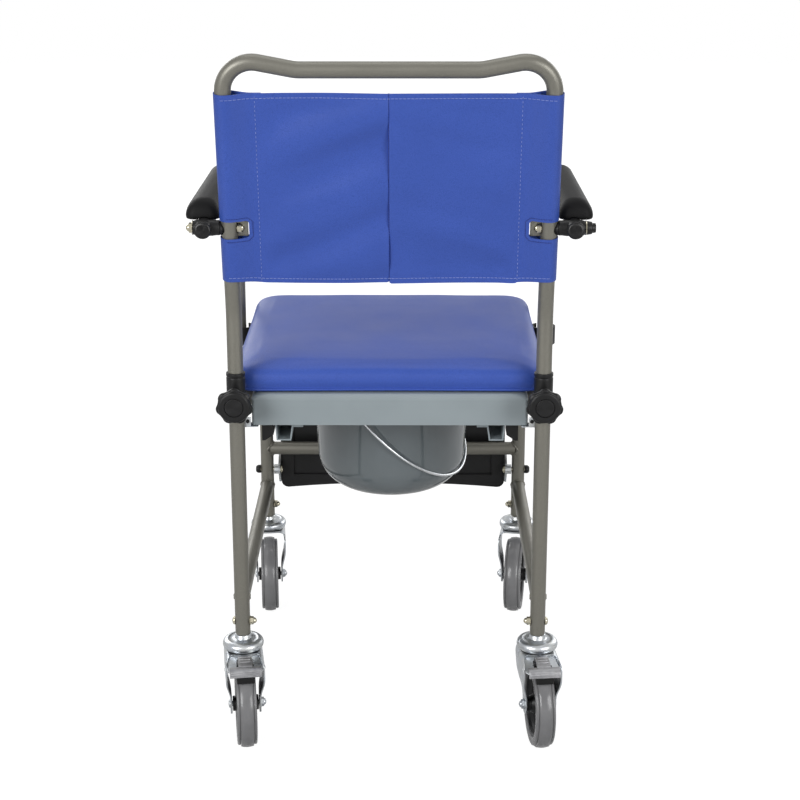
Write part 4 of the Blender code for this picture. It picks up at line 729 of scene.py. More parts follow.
def star_loop(bm, middle, radius, y, share, lobes=7, steps=140):
    """A loop about a knob's axis, with its lobes as deep as the share says."""
    points = []
    for i in range(steps):
        angle = 2 * math.pi * i / steps
        wave = math.cos(lobes * angle)
        r = radius + 0.0013 * (math.copysign(abs(wave) ** 0.7, wave) - 1) * share
        points.append(bm.verts.new((middle.x + r * math.sin(angle), y, middle.z + r * math.cos(angle))))
    return points


def make_knobs():
    """Star knobs: a body of seven shallow lobes, a round bevelled face and a turned cap in it."""
    depth, outer, face_r, cap_r = 0.015, 0.026, 0.0222, 0.0127
    rows = [(0.0098, depth - 0.0002, 0.0), (0.0104, depth * 0.84, 0.0), (outer - 0.0062, depth * 0.80, 0.6)]
    rows += [(outer - 0.0024, depth * 0.775, 1.0), (outer - 0.0007, depth * 0.72, 1.0)]
    rows += [(outer, depth * 0.64, 1.0), (outer, depth * 0.44, 1.0), (outer - 0.0007, depth * 0.37, 1.0)]
    rows += [(outer - 0.0020, depth * 0.33, 0.9), (face_r + 0.0006, depth * 0.30, 0.3)]
    rows += [(face_r, depth * 0.26, 0.0), (face_r, depth * 0.15, 0.0), (face_r - 0.0008, depth * 0.06, 0.0)]
    rows += [(face_r - 0.0026, depth * 0.01, 0.0), (face_r - 0.0045, 0.0, 0.0)]
    rows += [(0.0136, 0.0002, 0.0), (0.0130, 0.0012, 0.0)]
    rings = 13
    cap = [(0.0, 0.0012)]
    cap += [(cap_r * 0.93 * i / rings, 0.00135 if i % 2 else 0.00115) for i in range(1, rings)]
    cap += [(cap_r * 0.95, 0.0013), (cap_r, 0.0009), (cap_r, -0.0005), (0.0, -0.0005)]
    for side, _ in SIDES:
        node = f"clamp_knob_{side}"
        low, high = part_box(node)
        middle, face = spot(node), high.y
        bm = bmesh.new()
        loft(bm, [star_loop(bm, middle, radius, face - back, share) for radius, back, share in rows])
        stud = [(middle.x, low.y, middle.z), (middle.x, face - depth + 0.001, middle.z)]
        sweep(bm, stud, 0.0040, 20)
        piece(f"star_knob_{side}", bm, BLACK_NYLON, f"knob_{side}", node, 50)
        at = along_axis((middle.x, face - 0.0011, middle.z), (0, 1, 0))
        turned(f"knob_cap_{side}", cap, at, 72, 0.0, TURNED_NYLON, f"knob_{side}", sharp_deg=60)


def make_arm_tubes():
    """The thin bent arm tubes, each with a plug in its lower end."""
    plug = [(0.0, 0.0), (0.0062, 0.0), (0.0080, 0.0016), (0.0080, 0.0064), (0.0, 0.0064)]
    for side, sign in SIDES:
        x = sign * ARM_X
        corners = [(x, ARM_Y - 0.012, ARM_Z), (x, ARM_POST_Y, ARM_Z), (x, ARM_POST_Y, ARM_FOOT_Z + 0.006)]
        bent = filleted(corners, [ARM_BEND_R], 4.0)
        tube(f"arm_bar_{side}", bent, ARM_TUBE_R, f"armrest_{side}", f"arm_tube_{side}", 32)
        at = Matrix.Translation((x, ARM_POST_Y, ARM_FOOT_Z))
        turned(f"arm_foot_plug_{side}", plug, at, 32, 0.0006, BLACK_NYLON, f"armrest_{side}")


def make_arm_tees():
    """Moulded tees with their rear caps, each on its pivot bolt and spacer."""
    for side, sign in SIDES:
        node = f"arm_joint_{side}"
        low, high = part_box(node)
        inner, outer = sorted((abs(low.x), abs(high.x)))
        length, reach = high.y - low.y, outer - inner
        bm = bmesh.new()
        lathe(bm, tee_profile(length), along_axis((sign * ARM_X, low.y, ARM_Z), (0, 1, 0)), 48, 0.0004)
        sleeve = [(0.0, 0.0), (TEE_SLEEVE_R - 0.0006, 0.0), (TEE_SLEEVE_R + 0.0001, 0.0012)]
        sleeve += [(TEE_SLEEVE_R, 0.0045), (TEE_SLEEVE_R + 0.0009, 0.0110)]
        sleeve += [(TEE_SLEEVE_R + 0.0009, reach - 0.0060), (TEE_SLEEVE_R - 0.0006, reach - 0.0010)]
        sleeve += [(TEE_SLEEVE_R - 0.0012, reach), (0.0, reach)]
        lathe(bm, sleeve, along_axis((sign * inner, ARM_Y, ARM_Z), (sign, 0, 0)), 48, 0.0006)
        piece(f"arm_tee_{side}", bm, BLACK_NYLON, f"armrest_{side}", node, 45)
        cap = [(0.0, 0.0024), (TEE_R * 0.60, 0.0023), (TEE_R * 0.86, 0.0019), (TEE_R * 0.93, 0.0010)]
        cap += [(TEE_R * 0.94, 0.0), (0.0, 0.0)]
        at = along_axis((sign * ARM_X, high.y - 0.0024, ARM_Z), (0, 1, 0))
        turned(f"arm_tee_cap_{side}", cap, at, 40, 0.0, TURNED_NYLON, f"armrest_{side}", sharp_deg=50)
        make_arm_bolt(side, sign, outer)
        make_arm_spacer(side, sign, inner - 0.0004 - HALF_X)


def tee_profile(length):
    """The tee's barrel over the arm tube: a grip ring near its mouth, and closed towards its rear."""
    bore, end = ARM_TUBE_R + 0.0003, length - 0.0024
    profile = [(bore, 0.0), (TEE_R - 0.0004, 0.0), (TEE_R, 0.0010), (TEE_R, 0.0170)]
    profile += [(TEE_R - 0.0003, 0.0185), (TEE_R, 0.0200), (TEE_R, length - 0.0032)]
    return profile + [(TEE_R - 0.0008, end), (0.0, end), (0.0, 0.012), (bore, 0.012)]


def make_arm_bolt(side, sign, outer):
    """A pivot bolt, nutted inside; outside, a washer under a nut on the left and a cap on the right."""
    outward, inward = (sign, 0, 0), (-sign, 0, 0)
    seat_x, head_x = sign * (outer + 0.0003), sign * (HALF_X - TUBE_R - 0.0003)
    bm = bmesh.new()
    ends = [(sign * (HALF_X - TUBE_R - 0.001), ARM_Y, ARM_Z), (seat_x, ARM_Y, ARM_Z)]
    sweep(bm, ends, BOLT_R, 20)
    lathe(bm, disc(0.0078, 0.0011), along_axis((head_x, ARM_Y, ARM_Z), inward), 32)
    acorn_nut(bm, along_axis((head_x - sign * 0.0009, ARM_Y, ARM_Z), inward), 0.0132, 0.0085)
    washer = [(0, 0), (0.0096, 0), (0.0100, 0.0004), (0.0100, 0.0011), (0.0096, 0.0015), (0, 0.0015)]
    lathe(bm, washer, along_axis((seat_x, ARM_Y, ARM_Z), outward), 36)
    on_washer = along_axis((seat_x + sign * 0.0014, ARM_Y, ARM_Z), outward)
    if side == "left":
        acorn_nut(bm, on_washer, 0.0128, 0.0084)
    piece(f"arm_bolt_{side}", bm, NUT_ZINC, "backrest", f"arm_pivot_bolt_{side}")
    if side == "right":
        cap = [(0, 0), (0.0092, 0), (0.0093, 0.0012), (0.0084, 0.0072), (0.0068, 0.0080)]
        cap += [(0.0064, 0.0125), (0, 0.0130)]
        turned("arm_bolt_cap_right", cap, on_washer, 32, 0.0007, BLACK_NYLON, "backrest")


def make_arm_spacer(side, sign, length):
    """The spacer between the upright and the tee, its inner end coped to the leaning tube."""
    profile = [(0.0, 0.0), (0.0095, 0.0), (0.0098, length), (0.0, length)]
    at = along_axis((sign * HALF_X, ARM_Y, ARM_Z), (sign, 0, 0))
    spacer = turned(f"arm_spacer_{side}", profile, at, 40, 0.0, BLACK_NYLON, "backrest")
    bm = bmesh.new()
    sweep(bm, [leaned(sign * HALF_X, 0.05), leaned(sign * HALF_X, 0.20)], TUBE_R + 0.0002, 48)
    cut_away(spacer, [piece(f"cutter_{side}", bm, BLACK_NYLON)])


def dress(node, material, bevel=0.0):
    """Gives a CAD node whose shape is right its finish, and slightly rounded edges."""
    obj = frame["nodes"][node]
    obj.data.materials.clear()
    obj.data.materials.append(material)
    if bevel:
        round_edges(obj, bevel, 2, 38.0)


def make_sockets():
    """Moulded cups for the arm posts, each on its saddle against the seat rail, with its screw."""
    for side, sign in SIDES:
        node = f"arm_socket_{side}"
        dress(node, BLACK_NYLON)
        bm = bmesh.new()
        low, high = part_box(node)
        place = (sign * (ARM_X - 0.017 + 0.0008), ARM_POST_Y, (low.z + high.z) / 2)
        dome_head(bm, along_axis(place, (sign, 0, 0)), 0.0048, 0.0026)
        piece(f"socket_screw_{side}", bm, NUT_ZINC, "frame")


def caster_place(corner):
    """The caster's own frame: its swivel axis at the origin, the wheel trailing along +Y."""
    head = spot(f"caster_head_{corner}")
    wheel = spot(f"tyre_{corner}")
    yaw = math.atan2(-(wheel.x - head.x), wheel.y - head.y)
    return Matrix.Translation((head.x, head.y, 0)) @ Matrix.Rotation(yaw, 4, "Z")


def make_caster_heads():
    """The domed swivel heads with their stems' collars, each over a dark seal."""
    dome = [(0.0, 0.0006), (0.0258, 0.0006), (0.0262, 0.0), (0.0276, 0.0008), (0.0291, 0.0026)]
    dome += [(0.0299, 0.0050), (0.0299, 0.0074), (0.0291, 0.0100), (0.0274, 0.0121), (0.0250, 0.0134)]
    dome += [(0.0226, 0.0139), (0.0214, 0.0138), (0.0208, 0.0134)]
    stem = [(0.0150, -0.0004), (0.0124, 0.0), (0.01175, 0.0006), (0.01175, 0.0058)]
    stem += [(0.0110, 0.0066), (0.0, 0.0066)]
    profile = [(r, HEAD_BASE + h) for r, h in dome] + [(r, HEAD_TOP + h) for r, h in stem]
    low, high = CROWN_TOP + 0.0002, HEAD_BASE + 0.0004
    seal = [(0.0, low), (0.0262, low), (0.0266, high), (0.0, high)]
    for corner in CORNERS:
        node = f"caster_head_{corner}"
        at = Matrix.Translation(spot(node) * Vector((1, 1, 0)))
        turned(f"swivel_head_{corner}", profile, at, 72, 0.0, ZINC, "frame", node, 50)
        turned(f"swivel_seal_{corner}", seal, at, 60, 0.0, HUB_NYLON, "frame")


def fork_rows(braked):
    """Half of the fork's pressed sheet as (across, height, front edge, rear edge), from its lug to its crown.

    A braked caster's cheeks reach further back, where they carry the lever.
    """
    z = WHEEL_R
    lug = FORK_LUG_R
    inner = FORK_INNER + FORK_T / 2
    outer = CROWN_HALF - FORK_T / 2
    crown_z = CROWN_TOP - FORK_T / 2
    rows = []
    for turn in (-72, -50, -25, 0):
        turn = math.radians(turn)
        half = lug * math.cos(turn)
        rows.append((inner, z + lug * math.sin(turn), TRAIL - half, TRAIL + half))
    reach = 0.012 if braked else 0.0
    for rise in (0.009, 0.018, 0.026, 0.034, 0.042, 0.050, 0.058, 0.065):
        across = inner + (outer - inner) * smooth_share(rise, 0.014, 0.044)
        front = TRAIL - lug - (rise - 0.009) * 0.66
        rear = TRAIL + lug * 0.96 - 0.0040 * smooth_share(rise, 0.020, 0.065)
        rear += reach * smooth_share(rise, 0.012, 0.050)
        rows.append((across, z + rise, max(front, -0.0205), rear))
    rear = 0.0470 if braked else 0.0300
    rows += [
        (outer - 0.0008, crown_z - 0.0052, -0.0212, rear),
        (outer - 0.0024, crown_z - 0.0024, -0.0216, rear - 0.0070),
        (outer - 0.0056, crown_z - 0.0005, -0.0224, 0.0262),
        (outer - 0.0090, crown_z, -0.0232, 0.0244),
        (outer * 0.40, crown_z, -0.0250, 0.0252),
        (0.0, crown_z, -0.0258, 0.0258),
    ]
    return rows


def make_forks():
    """Forks of pressed sheet, from one lug over the crown to the other, with their axle bolts."""
    across = 10
    for corner in CORNERS:
        at = caster_place(corner)
        body = f"caster_{corner}"
        half = fork_rows(corner.startswith("rear"))
        rows = [(-x, z, a, b) for x, z, a, b in half] + half[-2::-1]
        bm = bmesh.new()
        grid = []
        for x, z, front, rear in rows:
            line = [Vector((x, front + (rear - front) * (k / across), z)) for k in range(across + 1)]
            grid.append([bm.verts.new(at @ point) for point in line])
        open_sheet(bm, grid)
        fork = piece(f"pressed_fork_{corner}", bm, ZINC, body, f"fork_{corner}", 50)
        subdivide(fork)
        sheet = fork.modifiers.new("sheet", "SOLIDIFY")
        sheet.thickness = FORK_T
        sheet.offset = 0.0
        round_edges(fork, 0.0006, 2, 45.0)
        out = 1 if corner.endswith("left") else -1
        hub = Vector((0, TRAIL, WHEEL_R))
        end = Vector((FORK_INNER + FORK_T + 0.0002, 0, 0))
        inward = at.to_3x3() @ Vector((-out, 0, 0))
        bm = bmesh.new()
        sweep(bm, [at @ (hub - end), at @ (hub + end)], BOLT_R, 20)
        acorn_nut(bm, along_axis(at @ (hub - end * out), inward), 0.0120, 0.0068, 0.0008)
        dome_head(bm, along_axis(at @ (hub + end * out), -inward), 0.0062, 0.0026)
        piece(f"axle_bolt_{corner}", bm, ZINC, body, f"axle_{corner}")


def make_fork_aprons():
    """The sloping apron behind each braked caster's crown, slotted for the brake lever's tongue."""
    width, length, slot, slot_start = 0.0252, 0.0345, 0.0116, 0.0075
    half = [(width, 0.0), (width, length - 0.004), (width - 0.004, length), (slot + 0.002, length)]
    half += [(slot, length - 0.002), (slot, slot_start)]
    outline = [(-width, 0.0)] + half + [(-a, b) for a, b in half[:0:-1]]
    slope = Matrix.Rotation(math.radians(-18.0), 4, "X")
    tilt = Matrix.Translation((0, 0.0250, CROWN_TOP - 0.0022)) @ slope
    for side, _ in SIDES:
        corner = f"rear_{side}"
        bm = bmesh.new()
        prism(bm, outline, -0.0018, 0.0, caster_place(corner) @ tilt)
        piece(f"fork_apron_{side}", bm, ZINC, f"caster_{corner}", bevel=0.0005)


def make_wheels():
    """Grey tyres with a raised middle rib, on dark hubs with a thin web."""
    seat = WHEEL_R - 0.016
    tread, side, rib = WHEEL_R, -TYRE_HALF, -RIB_HALF
    tyre = [(seat, side + 0.0016), (seat + 0.0020, side + 0.0004), (seat + 0.0045, side)]
    tyre += [(tread - 0.0074, side), (tread - 0.0052, side * 0.985), (tread - 0.0040, side * 0.930)]
    tyre += [(tread - 0.0037, side * 0.830), (tread - 0.0038, rib - 0.0012), (tread - 0.0044, rib - 0.0005)]
    tyre += [(tread - 0.0040, rib), (tread - 0.0018, rib + 0.0003), (tread - 0.0012, rib * 0.90)]
    tyre += [(tread - 0.0005, rib * 0.58), (tread - 0.0001, rib * 0.28), (tread, 0.0)]
    tyre += [(r, -h) for r, h in tyre[-2::-1]]
    rim, web, rim_half = seat - 0.0003, 0.0040, TYRE_HALF * 0.84
    hub = [(0.0044, HUB_BOSS_HALF), (0.0105, HUB_BOSS_HALF), (0.0110, HUB_BOSS_HALF - 0.0006)]
    hub += [(0.0110, HUB_BOSS_HALF - 0.0052), (0.0124, HUB_BOSS_HALF - 0.0060), (0.0150, web + 0.0035)]
    hub += [(0.0185, web), (rim - 0.0085, web), (rim - 0.0050, web + 0.0040)]
    hub += [(rim - 0.0040, rim_half), (rim, rim_half)]
    hub += [(r, -h) for r, h in hub[::-1]]
    for corner in CORNERS:
        at = caster_place(corner)
        spin = along_axis(at @ Vector((0, TRAIL, WHEEL_R)), at.to_3x3() @ Vector((1, 0, 0)))
        body = f"wheel_{corner}"
        turned(f"tyre_ring_{corner}", tyre, spin, 96, 0.0, RUBBER, body, f"tyre_{corner}", 50)
        turned(f"wheel_hub_{corner}", hub, spin, 64, 0.0007, HUB_NYLON, body, f"hub_{corner}", 50)


def bent_strip(bm, points, thickness, width, at):
    """A sheet strip from its side line of (back, up) points."""
    upper, lower = [], []
    for i, (a, b) in enumerate(points):
        before, after = points[max(i - 1, 0)], points[min(i + 1, len(points) - 1)]
        run = Vector((after[0] - before[0], after[1] - before[1])).normalized()
        upper.append((a - run.y * thickness / 2, b + run.x * thickness / 2))
        lower.append((a + run.y * thickness / 2, b - run.x * thickness / 2))
    prism(bm, upper + lower[::-1], 0.0, width, at @ crosswise(-width / 2))


def make_pedals():
    """Brake levers, shoes and rivets on the rear casters."""
    for side, _ in SIDES:
        corner = f"rear_{side}"
        at = caster_place(corner)
        make_lever(side, at)
        make_brake_shoe(side, at)
        bm = bmesh.new()
        for way in (1, -1):
            seat = at @ Vector((way * (CROWN_HALF - 0.0004), 0.0400, EAR_Z + 0.0060))
            dome_head(bm, along_axis(seat, at.to_3x3() @ Vector((way, 0, 0))), 0.0032, 0.0016)
        piece(f"brake_rivets_{side}", bm, ZINC, f"caster_{corner}")


def make_lever(side, at):
    """A brake lever: its tongue and plate, a lip with ribs to press on, and an ear each side."""
    z, reach = PLATE_Z, PEDAL_REACH
    bm = bmesh.new()
    tongue = [(0.0135, z), (0.0300, z), (0.0338, z + 0.0030), (0.0356, z + 0.0096)]
    tongue += [(0.0420, z + 0.0100), (0.0500, z + 0.0086), (0.0600, z + 0.0052)]
    lip = [(reach - 0.0110, z + 0.0042), (reach - 0.0048, z + 0.0034), (reach - 0.0017, z + 0.0010)]
    lip += [(reach - 0.0004, z - 0.0028), (reach - 0.0001, z - 0.0064)]
    bent_strip(bm, tongue, 0.0020, 0.0200, at)
    bent_strip(bm, [(0.0125, z), (0.0305, z)], 0.0020, 0.0362, at)
    bent_strip(bm, lip, 0.0024, 0.0455, at)
    for k in range(3):
        rib = (reach + 0.0006 - 0.0012 * max(0, 1 - k), z + 0.0006 - 0.0026 * k)
        sweep(bm, [at @ Vector((x, *rib)) for x in (-0.0205, 0.0205)], 0.0009, 10)
    for k in range(3):
        rib = (0.0415 + 0.0052 * k, z + 0.0112 - 0.0012 * k)
        sweep(bm, [at @ Vector((x, *rib)) for x in (-0.0078, 0.0078)], 0.0010, 10)
    front = TRAIL - 0.0145
    rounded = arc((TRAIL - 0.0075, EAR_Z), 0.0068, 190, 350, 8)
    ear = [(front, z), (front, EAR_Z + 0.001), *rounded, (0.0318, z)]
    for way in (1, -1):
        prism(bm, ear, 0.0, 0.0020, at @ crosswise(way * (HUB_BOSS_HALF - 0.0015) - 0.0010))
    piece(f"brake_lever_{side}", bm, DULL_ZINC, f"pedal_{side}", f"brake_pedal_{side}", bevel=0.0003)


def make_brake_shoe(side, at):
    """The rubber shoe under a lever's lip, hollowed to the tread."""
    z, reach = PLATE_Z, PEDAL_REACH
    tread_r = WHEEL_R + 0.0032
    shoe = []
    for i in range(9):
        y = reach - 0.0200 + 0.0215 * i / 8
        shoe.append((y, WHEEL_R + math.sqrt(max(tread_r**2 - (y - TRAIL) ** 2, 0.0))))
    shoe += [(reach + 0.0018, z - 0.0072), (reach - 0.0014, z - 0.0066), (reach - 0.0030, z - 0.0020)]
    shoe += [(reach - 0.0070, z + 0.0024), (reach - 0.0200, z + 0.0040)]
    bm = bmesh.new()
    prism(bm, shoe, 0.0, 0.025, at @ crosswise(-0.0125))
    piece(f"brake_shoe_{side}", bm, SHOE_RUBBER, f"pedal_{side}", sharp_deg=30, bevel=0.0005)


def make_board_and_runners():
    """The board, runners, clips, footrest straps and footplate, which keep their CAD shapes."""
    dress("seat_board", BOARD_PLASTIC, 0.0006)
    for side, _ in SIDES:
        dress(f"bucket_runner_{side}", BOARD_PLASTIC, 0.0005)
        dress(f"seat_clip_{side}", BLACK_NYLON, 0.0008)
        dress(f"footrest_arm_{side}", ZINC, 0.0004)
    dress("footplate", BLACK_NYLON, 0.0009)


def make_pail():
    """Pail with a rolled rim and a turned-in foot, and its two ears."""
    low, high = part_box("bucket")
    middle = (low + high) / 2
    rim_r, mouth_r, waist_r, flat_r, wall = 0.132, 0.122, 0.114, 0.062, 0.003
    base_z, top_z = low.z, high.z
    waist_z = base_z + (top_z - base_z) * 0.325
    steps = 18
    outside, inside = [], []
    for i in range(steps + 1):
        turn = math.radians(90 * i / steps)
        r = flat_r + (waist_r - flat_r) * math.sin(turn)
        z = waist_z - (waist_z - base_z) * math.cos(turn)
        outside.append((r, z))
        narrowed = flat_r + (r - flat_r) * (waist_r - wall - flat_r) / (waist_r - flat_r)
        inside.append((narrowed, z + wall * (1 - (z - base_z) / (waist_z - base_z))))
    rim = [(mouth_r - 0.0006, top_z - 0.0060), (mouth_r + 0.0006, top_z - 0.0040)]
    rim += [(rim_r - 0.0012, top_z - 0.0040), (rim_r, top_z - 0.0030), (rim_r, top_z - 0.0010)]
    rim += [(rim_r - 0.0010, top_z), (mouth_r - wall + 0.0015, top_z), (mouth_r - wall, top_z - 0.0015)]
    bm = bmesh.new()
    profile = [(0.0, base_z), *outside, *rim, *inside[::-1], (0.0, base_z + wall)]
    lathe(bm, profile, Matrix.Translation((middle.x, middle.y, 0)), 128)
    turn = math.radians(63.5)
    ear_axis = Vector((-math.cos(turn), -math.sin(turn), 0))
    outward = Vector((-math.sin(turn), math.cos(turn), 0))
    bail_joint = next(joint for joint in frame["joints"] if joint["name"] == "bail_swing")
    hinge = Vector((middle.x, middle.y, Vector(bail_joint["pos_m"]).z))
    ear = [(0, 0), (0.0058, 0), (0.0046, 0.0038), (0.0, 0.0042)]
    for way in (1, -1):
        lathe(bm, ear, along_axis(hinge + ear_axis * (way * 0.1190), ear_axis * way), 24, 0.0004)
    piece("pail_shell", bm, PAIL_PLASTIC, "pail", "bucket", 50)
    make_bail(hinge, ear_axis, outward)


def make_bail(hinge, ear_axis, outward):
    """The wire bail, leaning out from the pail, with a closed eye in each ear."""
    lean = math.radians(43.0)
    span, drop, steps, eye_steps = 0.1270, 0.166, 72, 20
    up = Vector((0, 0, 1))
    hang = Vector((0, 0, -1)) * math.cos(lean) + outward * math.sin(lean)
    path = []
    for i in range(steps + 1):
        angle = math.pi * i / steps
        path.append(hinge + ear_axis * (span * math.cos(angle)) + hang * (drop * math.sin(angle)))
    bm = bmesh.new()
    sweep(bm, path, 0.0020, 14)
    for way in (1, -1):
        eye = []
        for i in range(eye_steps):
            angle = 2 * math.pi * i / eye_steps
            spoke = outward * math.cos(angle) + up * math.sin(angle)
            eye.append(hinge + ear_axis * (way * span) + spoke * 0.0052)
        sweep(bm, eye, 0.0018, 10, closed=True)
    piece("bail_wire", bm, WIRE, "bail", "bucket_bail")


def make_camera():
    """The photograph's camera, behind the chair and looking down at it."""
    camera = bpy.data.cameras.new("camera")
    camera.sensor_width = 36.0
    camera.lens = CAMERA_LENS
    camera.shift_y = CAMERA_SHIFT_UP
    right = Vector((-math.cos(CAMERA_HEADING), math.sin(CAMERA_HEADING), 0))
    ahead = Vector((-math.sin(CAMERA_HEADING), -math.cos(CAMERA_HEADING), 0)) * math.cos(CAMERA_TILT)
    ahead.z = -math.sin(CAMERA_TILT)
    turn = Matrix((right, right.cross(ahead), -ahead)).transposed().to_4x4()
    obj = in_scene("camera", camera)
    obj.matrix_world = Matrix.Translation(CAMERA_PLACE) @ turn
    bpy.context.scene.camera = obj


def empty_tree(owner):
    """The node tree of a material or world, with nothing in it."""
    owner.use_nodes = True
    owner.node_tree.nodes.clear()
    return owner.node_tree


def floor_paint():
    """Matt floor paint: near white by the object, plain white further out, grey to bounced light."""
    material = bpy.data.materials.new("studio_floor")
    tree = empty_tree(material)
    rays = add(tree, "ShaderNodeLightPath")
    links = [(0, rays.outputs["Is Camera Ray"]), (1, rays.outputs["Is Glossy Ray"])]
    seen = add(tree, "ShaderNodeMath", [("operation", "MAXIMUM")], links)
    links = [(0, seen.outputs[0]), (6, linear("#a8a8a8")), (7, linear("#f6f6f6"))]
    tone = add(tree, "ShaderNodeMix", [("data_type", "RGBA")], links)
    paint = add(tree, "ShaderNodeBsdfDiffuse", [], [("Color", tone.outputs[2]), ("Roughness", 0.5)])
    glow = add(tree, "ShaderNodeEmission", [], [("Color", WHITE), ("Strength", FLOOR_GLOW)])
    place = add(tree, "ShaderNodeTexCoord")
    away = add(tree, "ShaderNodeVectorMath", [("operation", "LENGTH")], [(0, place.outputs["Object"])])
    links = [("Value", away.outputs["Value"]), ("From Min", 0.8), ("From Max", 2.4)]
    fade = add(tree, "ShaderNodeMapRange", [], [*links, ("To Min", 0.80), ("To Max", 1.0)])
    links = [(0, rays.outputs["Is Camera Ray"]), (1, fade.outputs["Result"])]
    share = add(tree, "ShaderNodeMath", [("operation", "MULTIPLY")], links)
    links = [(0, share.outputs[0]), (1, paint.outputs[0]), (2, glow.outputs[0])]
    mix = add(tree, "ShaderNodeMixShader", [], links)
    add(tree, "ShaderNodeOutputMaterial", [], [("Surface", mix.outputs[0])])
    return material


def make_surround():
    """An even dim light all round, brighter in reflections, with white behind the object."""
    world = bpy.data.worlds.new("studio")
    bpy.context.scene.world = world
    tree = empty_tree(world)
    rays = add(tree, "ShaderNodeLightPath")
    links = [(0, rays.outputs["Is Camera Ray"]), (1, rays.outputs["Is Transmission Ray"])]
    seen = add(tree, "ShaderNodeMath", [("operation", "MAXIMUM")], links)
    links = [(0, rays.outputs["Is Glossy Ray"]), (1, SURROUND_IN_GLOSS), (2, SURROUND)]
    level = add(tree, "ShaderNodeMath", [("operation", "MULTIPLY_ADD")], links)
    light = add(tree, "ShaderNodeBackground", [], [("Color", WHITE), ("Strength", level.outputs[0])])
    backdrop = add(tree, "ShaderNodeBackground", [], [("Color", WHITE), ("Strength", 1.0)])
    links = [(0, seen.outputs[0]), (1, light.outputs[0]), (2, backdrop.outputs[0])]
    mix = add(tree, "ShaderNodeMixShader", [], links)
    add(tree, "ShaderNodeOutputWorld", [], [("Surface", mix.outputs[0])])


def make_studio():
    """Two soft boxes on the camera's side, one overhead and two for the front, over a pale floor."""
    for name, place, aim, size, power in SOFT_BOXES:
        light = bpy.data.lights.new(name, "AREA")
        light.shape = "RECTANGLE"
        light.size, light.size_y = size
        light.energy = power
        obj = in_scene(name, light)
        obj.location = place
        obj.rotation_mode = "QUATERNION"
        obj.rotation_quaternion = (Vector(aim) - Vector(place)).to_track_quat("-Z", "Y")
    make_surround()
    bm = bmesh.new()
    bmesh.ops.create_circle(bm, cap_ends=True, radius=FLOOR_R, segments=96)
    bmesh.ops.translate(bm, vec=(0, 0, -0.0004), verts=bm.verts)
    piece("studio_floor", bm, floor_paint())
    bpy.context.scene.view_settings.view_transform = "Standard"


def sling_out(x):
    """How far the sling's rear face lies out of the backrest's plane."""
    return SLING_PANEL_OUT + (SLEEVE_R - SLING_PANEL_OUT) * smooth_share(abs(x), SLING_SEAM_X + 0.002, HALF_X)


def sling_section():
    """The sling's line across the chair as (x, out), from one front hem round both tubes to the other."""
    marks = [0.0, 0.0006, 0.0012, 0.0022, 0.0040, SLING_SEAM_X - 0.002, SLING_SEAM_X, SLING_SEAM_X + 0.002]
    half = [(x, sling_out(x)) for x in spaced([*marks, HALF_X], 0.004)]
    half += arc((HALF_X, 0.0), SLEEVE_R, 75, -90, 11)
    hem_out = SLING_PANEL_OUT * 0.1
    for x in spaced([SLING_HEM_X, HALF_X], 0.004)[::-1][1:]:
        out = hem_out + (SLEEVE_R - hem_out) * smooth_share(x, SLING_HEM_X + 0.013, HALF_X)
        half.append((x, -out))
    return [(-x, out) for x, out in half[::-1]] + half[1:]


def sling_relief(x, along):
    """Slack of the stretched vinyl: folds that run in from the windows, broad waves and sunken seams."""
    side = 1 if x > 0 else -1
    turn = math.radians(24.0 if x > 0 else -14.0)
    run = x * math.cos(turn) - along * math.sin(turn)
    across = x * math.sin(turn) + along * math.cos(turn)
    folds = noise.noise(Vector((run * 3.2, across * 15.0, 4.7 + side))) * 0.0095
    folds += noise.noise(Vector((run * 7.0, across * 34.0, 9.2 + side))) * 0.0020
    wave = noise.noise(Vector((x * 6.0, along * 7.0, 0.3))) * 0.0030
    flat = 1.0 - smooth_share(abs(x), SLING_SEAM_X - 0.03, SLING_SEAM_X + 0.004)
    held = smooth_share(along, SLING_LOW, SLING_LOW + 0.03) * smooth_share(SLING_HIGH - along, 0.0, 0.03)
    groove = math.exp(-((x / 0.0007) ** 2)) * 0.0014
    seam = math.exp(-(((abs(x) - SLING_SEAM_X) / 0.0016) ** 2)) * 0.0004
    hem = sum(math.exp(-(((along - at) / 0.0016) ** 2)) for at in SLING_HEM_ROWS)
    return (folds + wave) * flat * (0.5 + 0.5 * held) - groove - seam - hem * 0.0004 * flat


def sling_lift(x, along):
    """How far the cut ends of the sleeves are raised, so the lower edge runs level to the tubes."""
    outward = smooth_share(abs(x), SLING_SEAM_X - 0.012, HALF_X)
    return 0.0048 * (1 - smooth_share(along, SLING_LOW, SLING_LOW + 0.035)) * outward


def sling_point(x, out, along):
    """A point of the sling's middle surface, with its relief and its seam's overlap on the rear face."""
    edge = 0.0
    if out > 0 and along == SLING_LOW:
        edge = 0.0016 * math.exp(-((x / 0.0016) ** 2)) - (0.0012 if -SLING_SEAM_X < x < 0 else 0.0)
    relief = sling_relief(x, along) if out > 0 and abs(x) < HALF_X else 0.0
    return leaned(x, along + edge + sling_lift(x, along), out + relief)


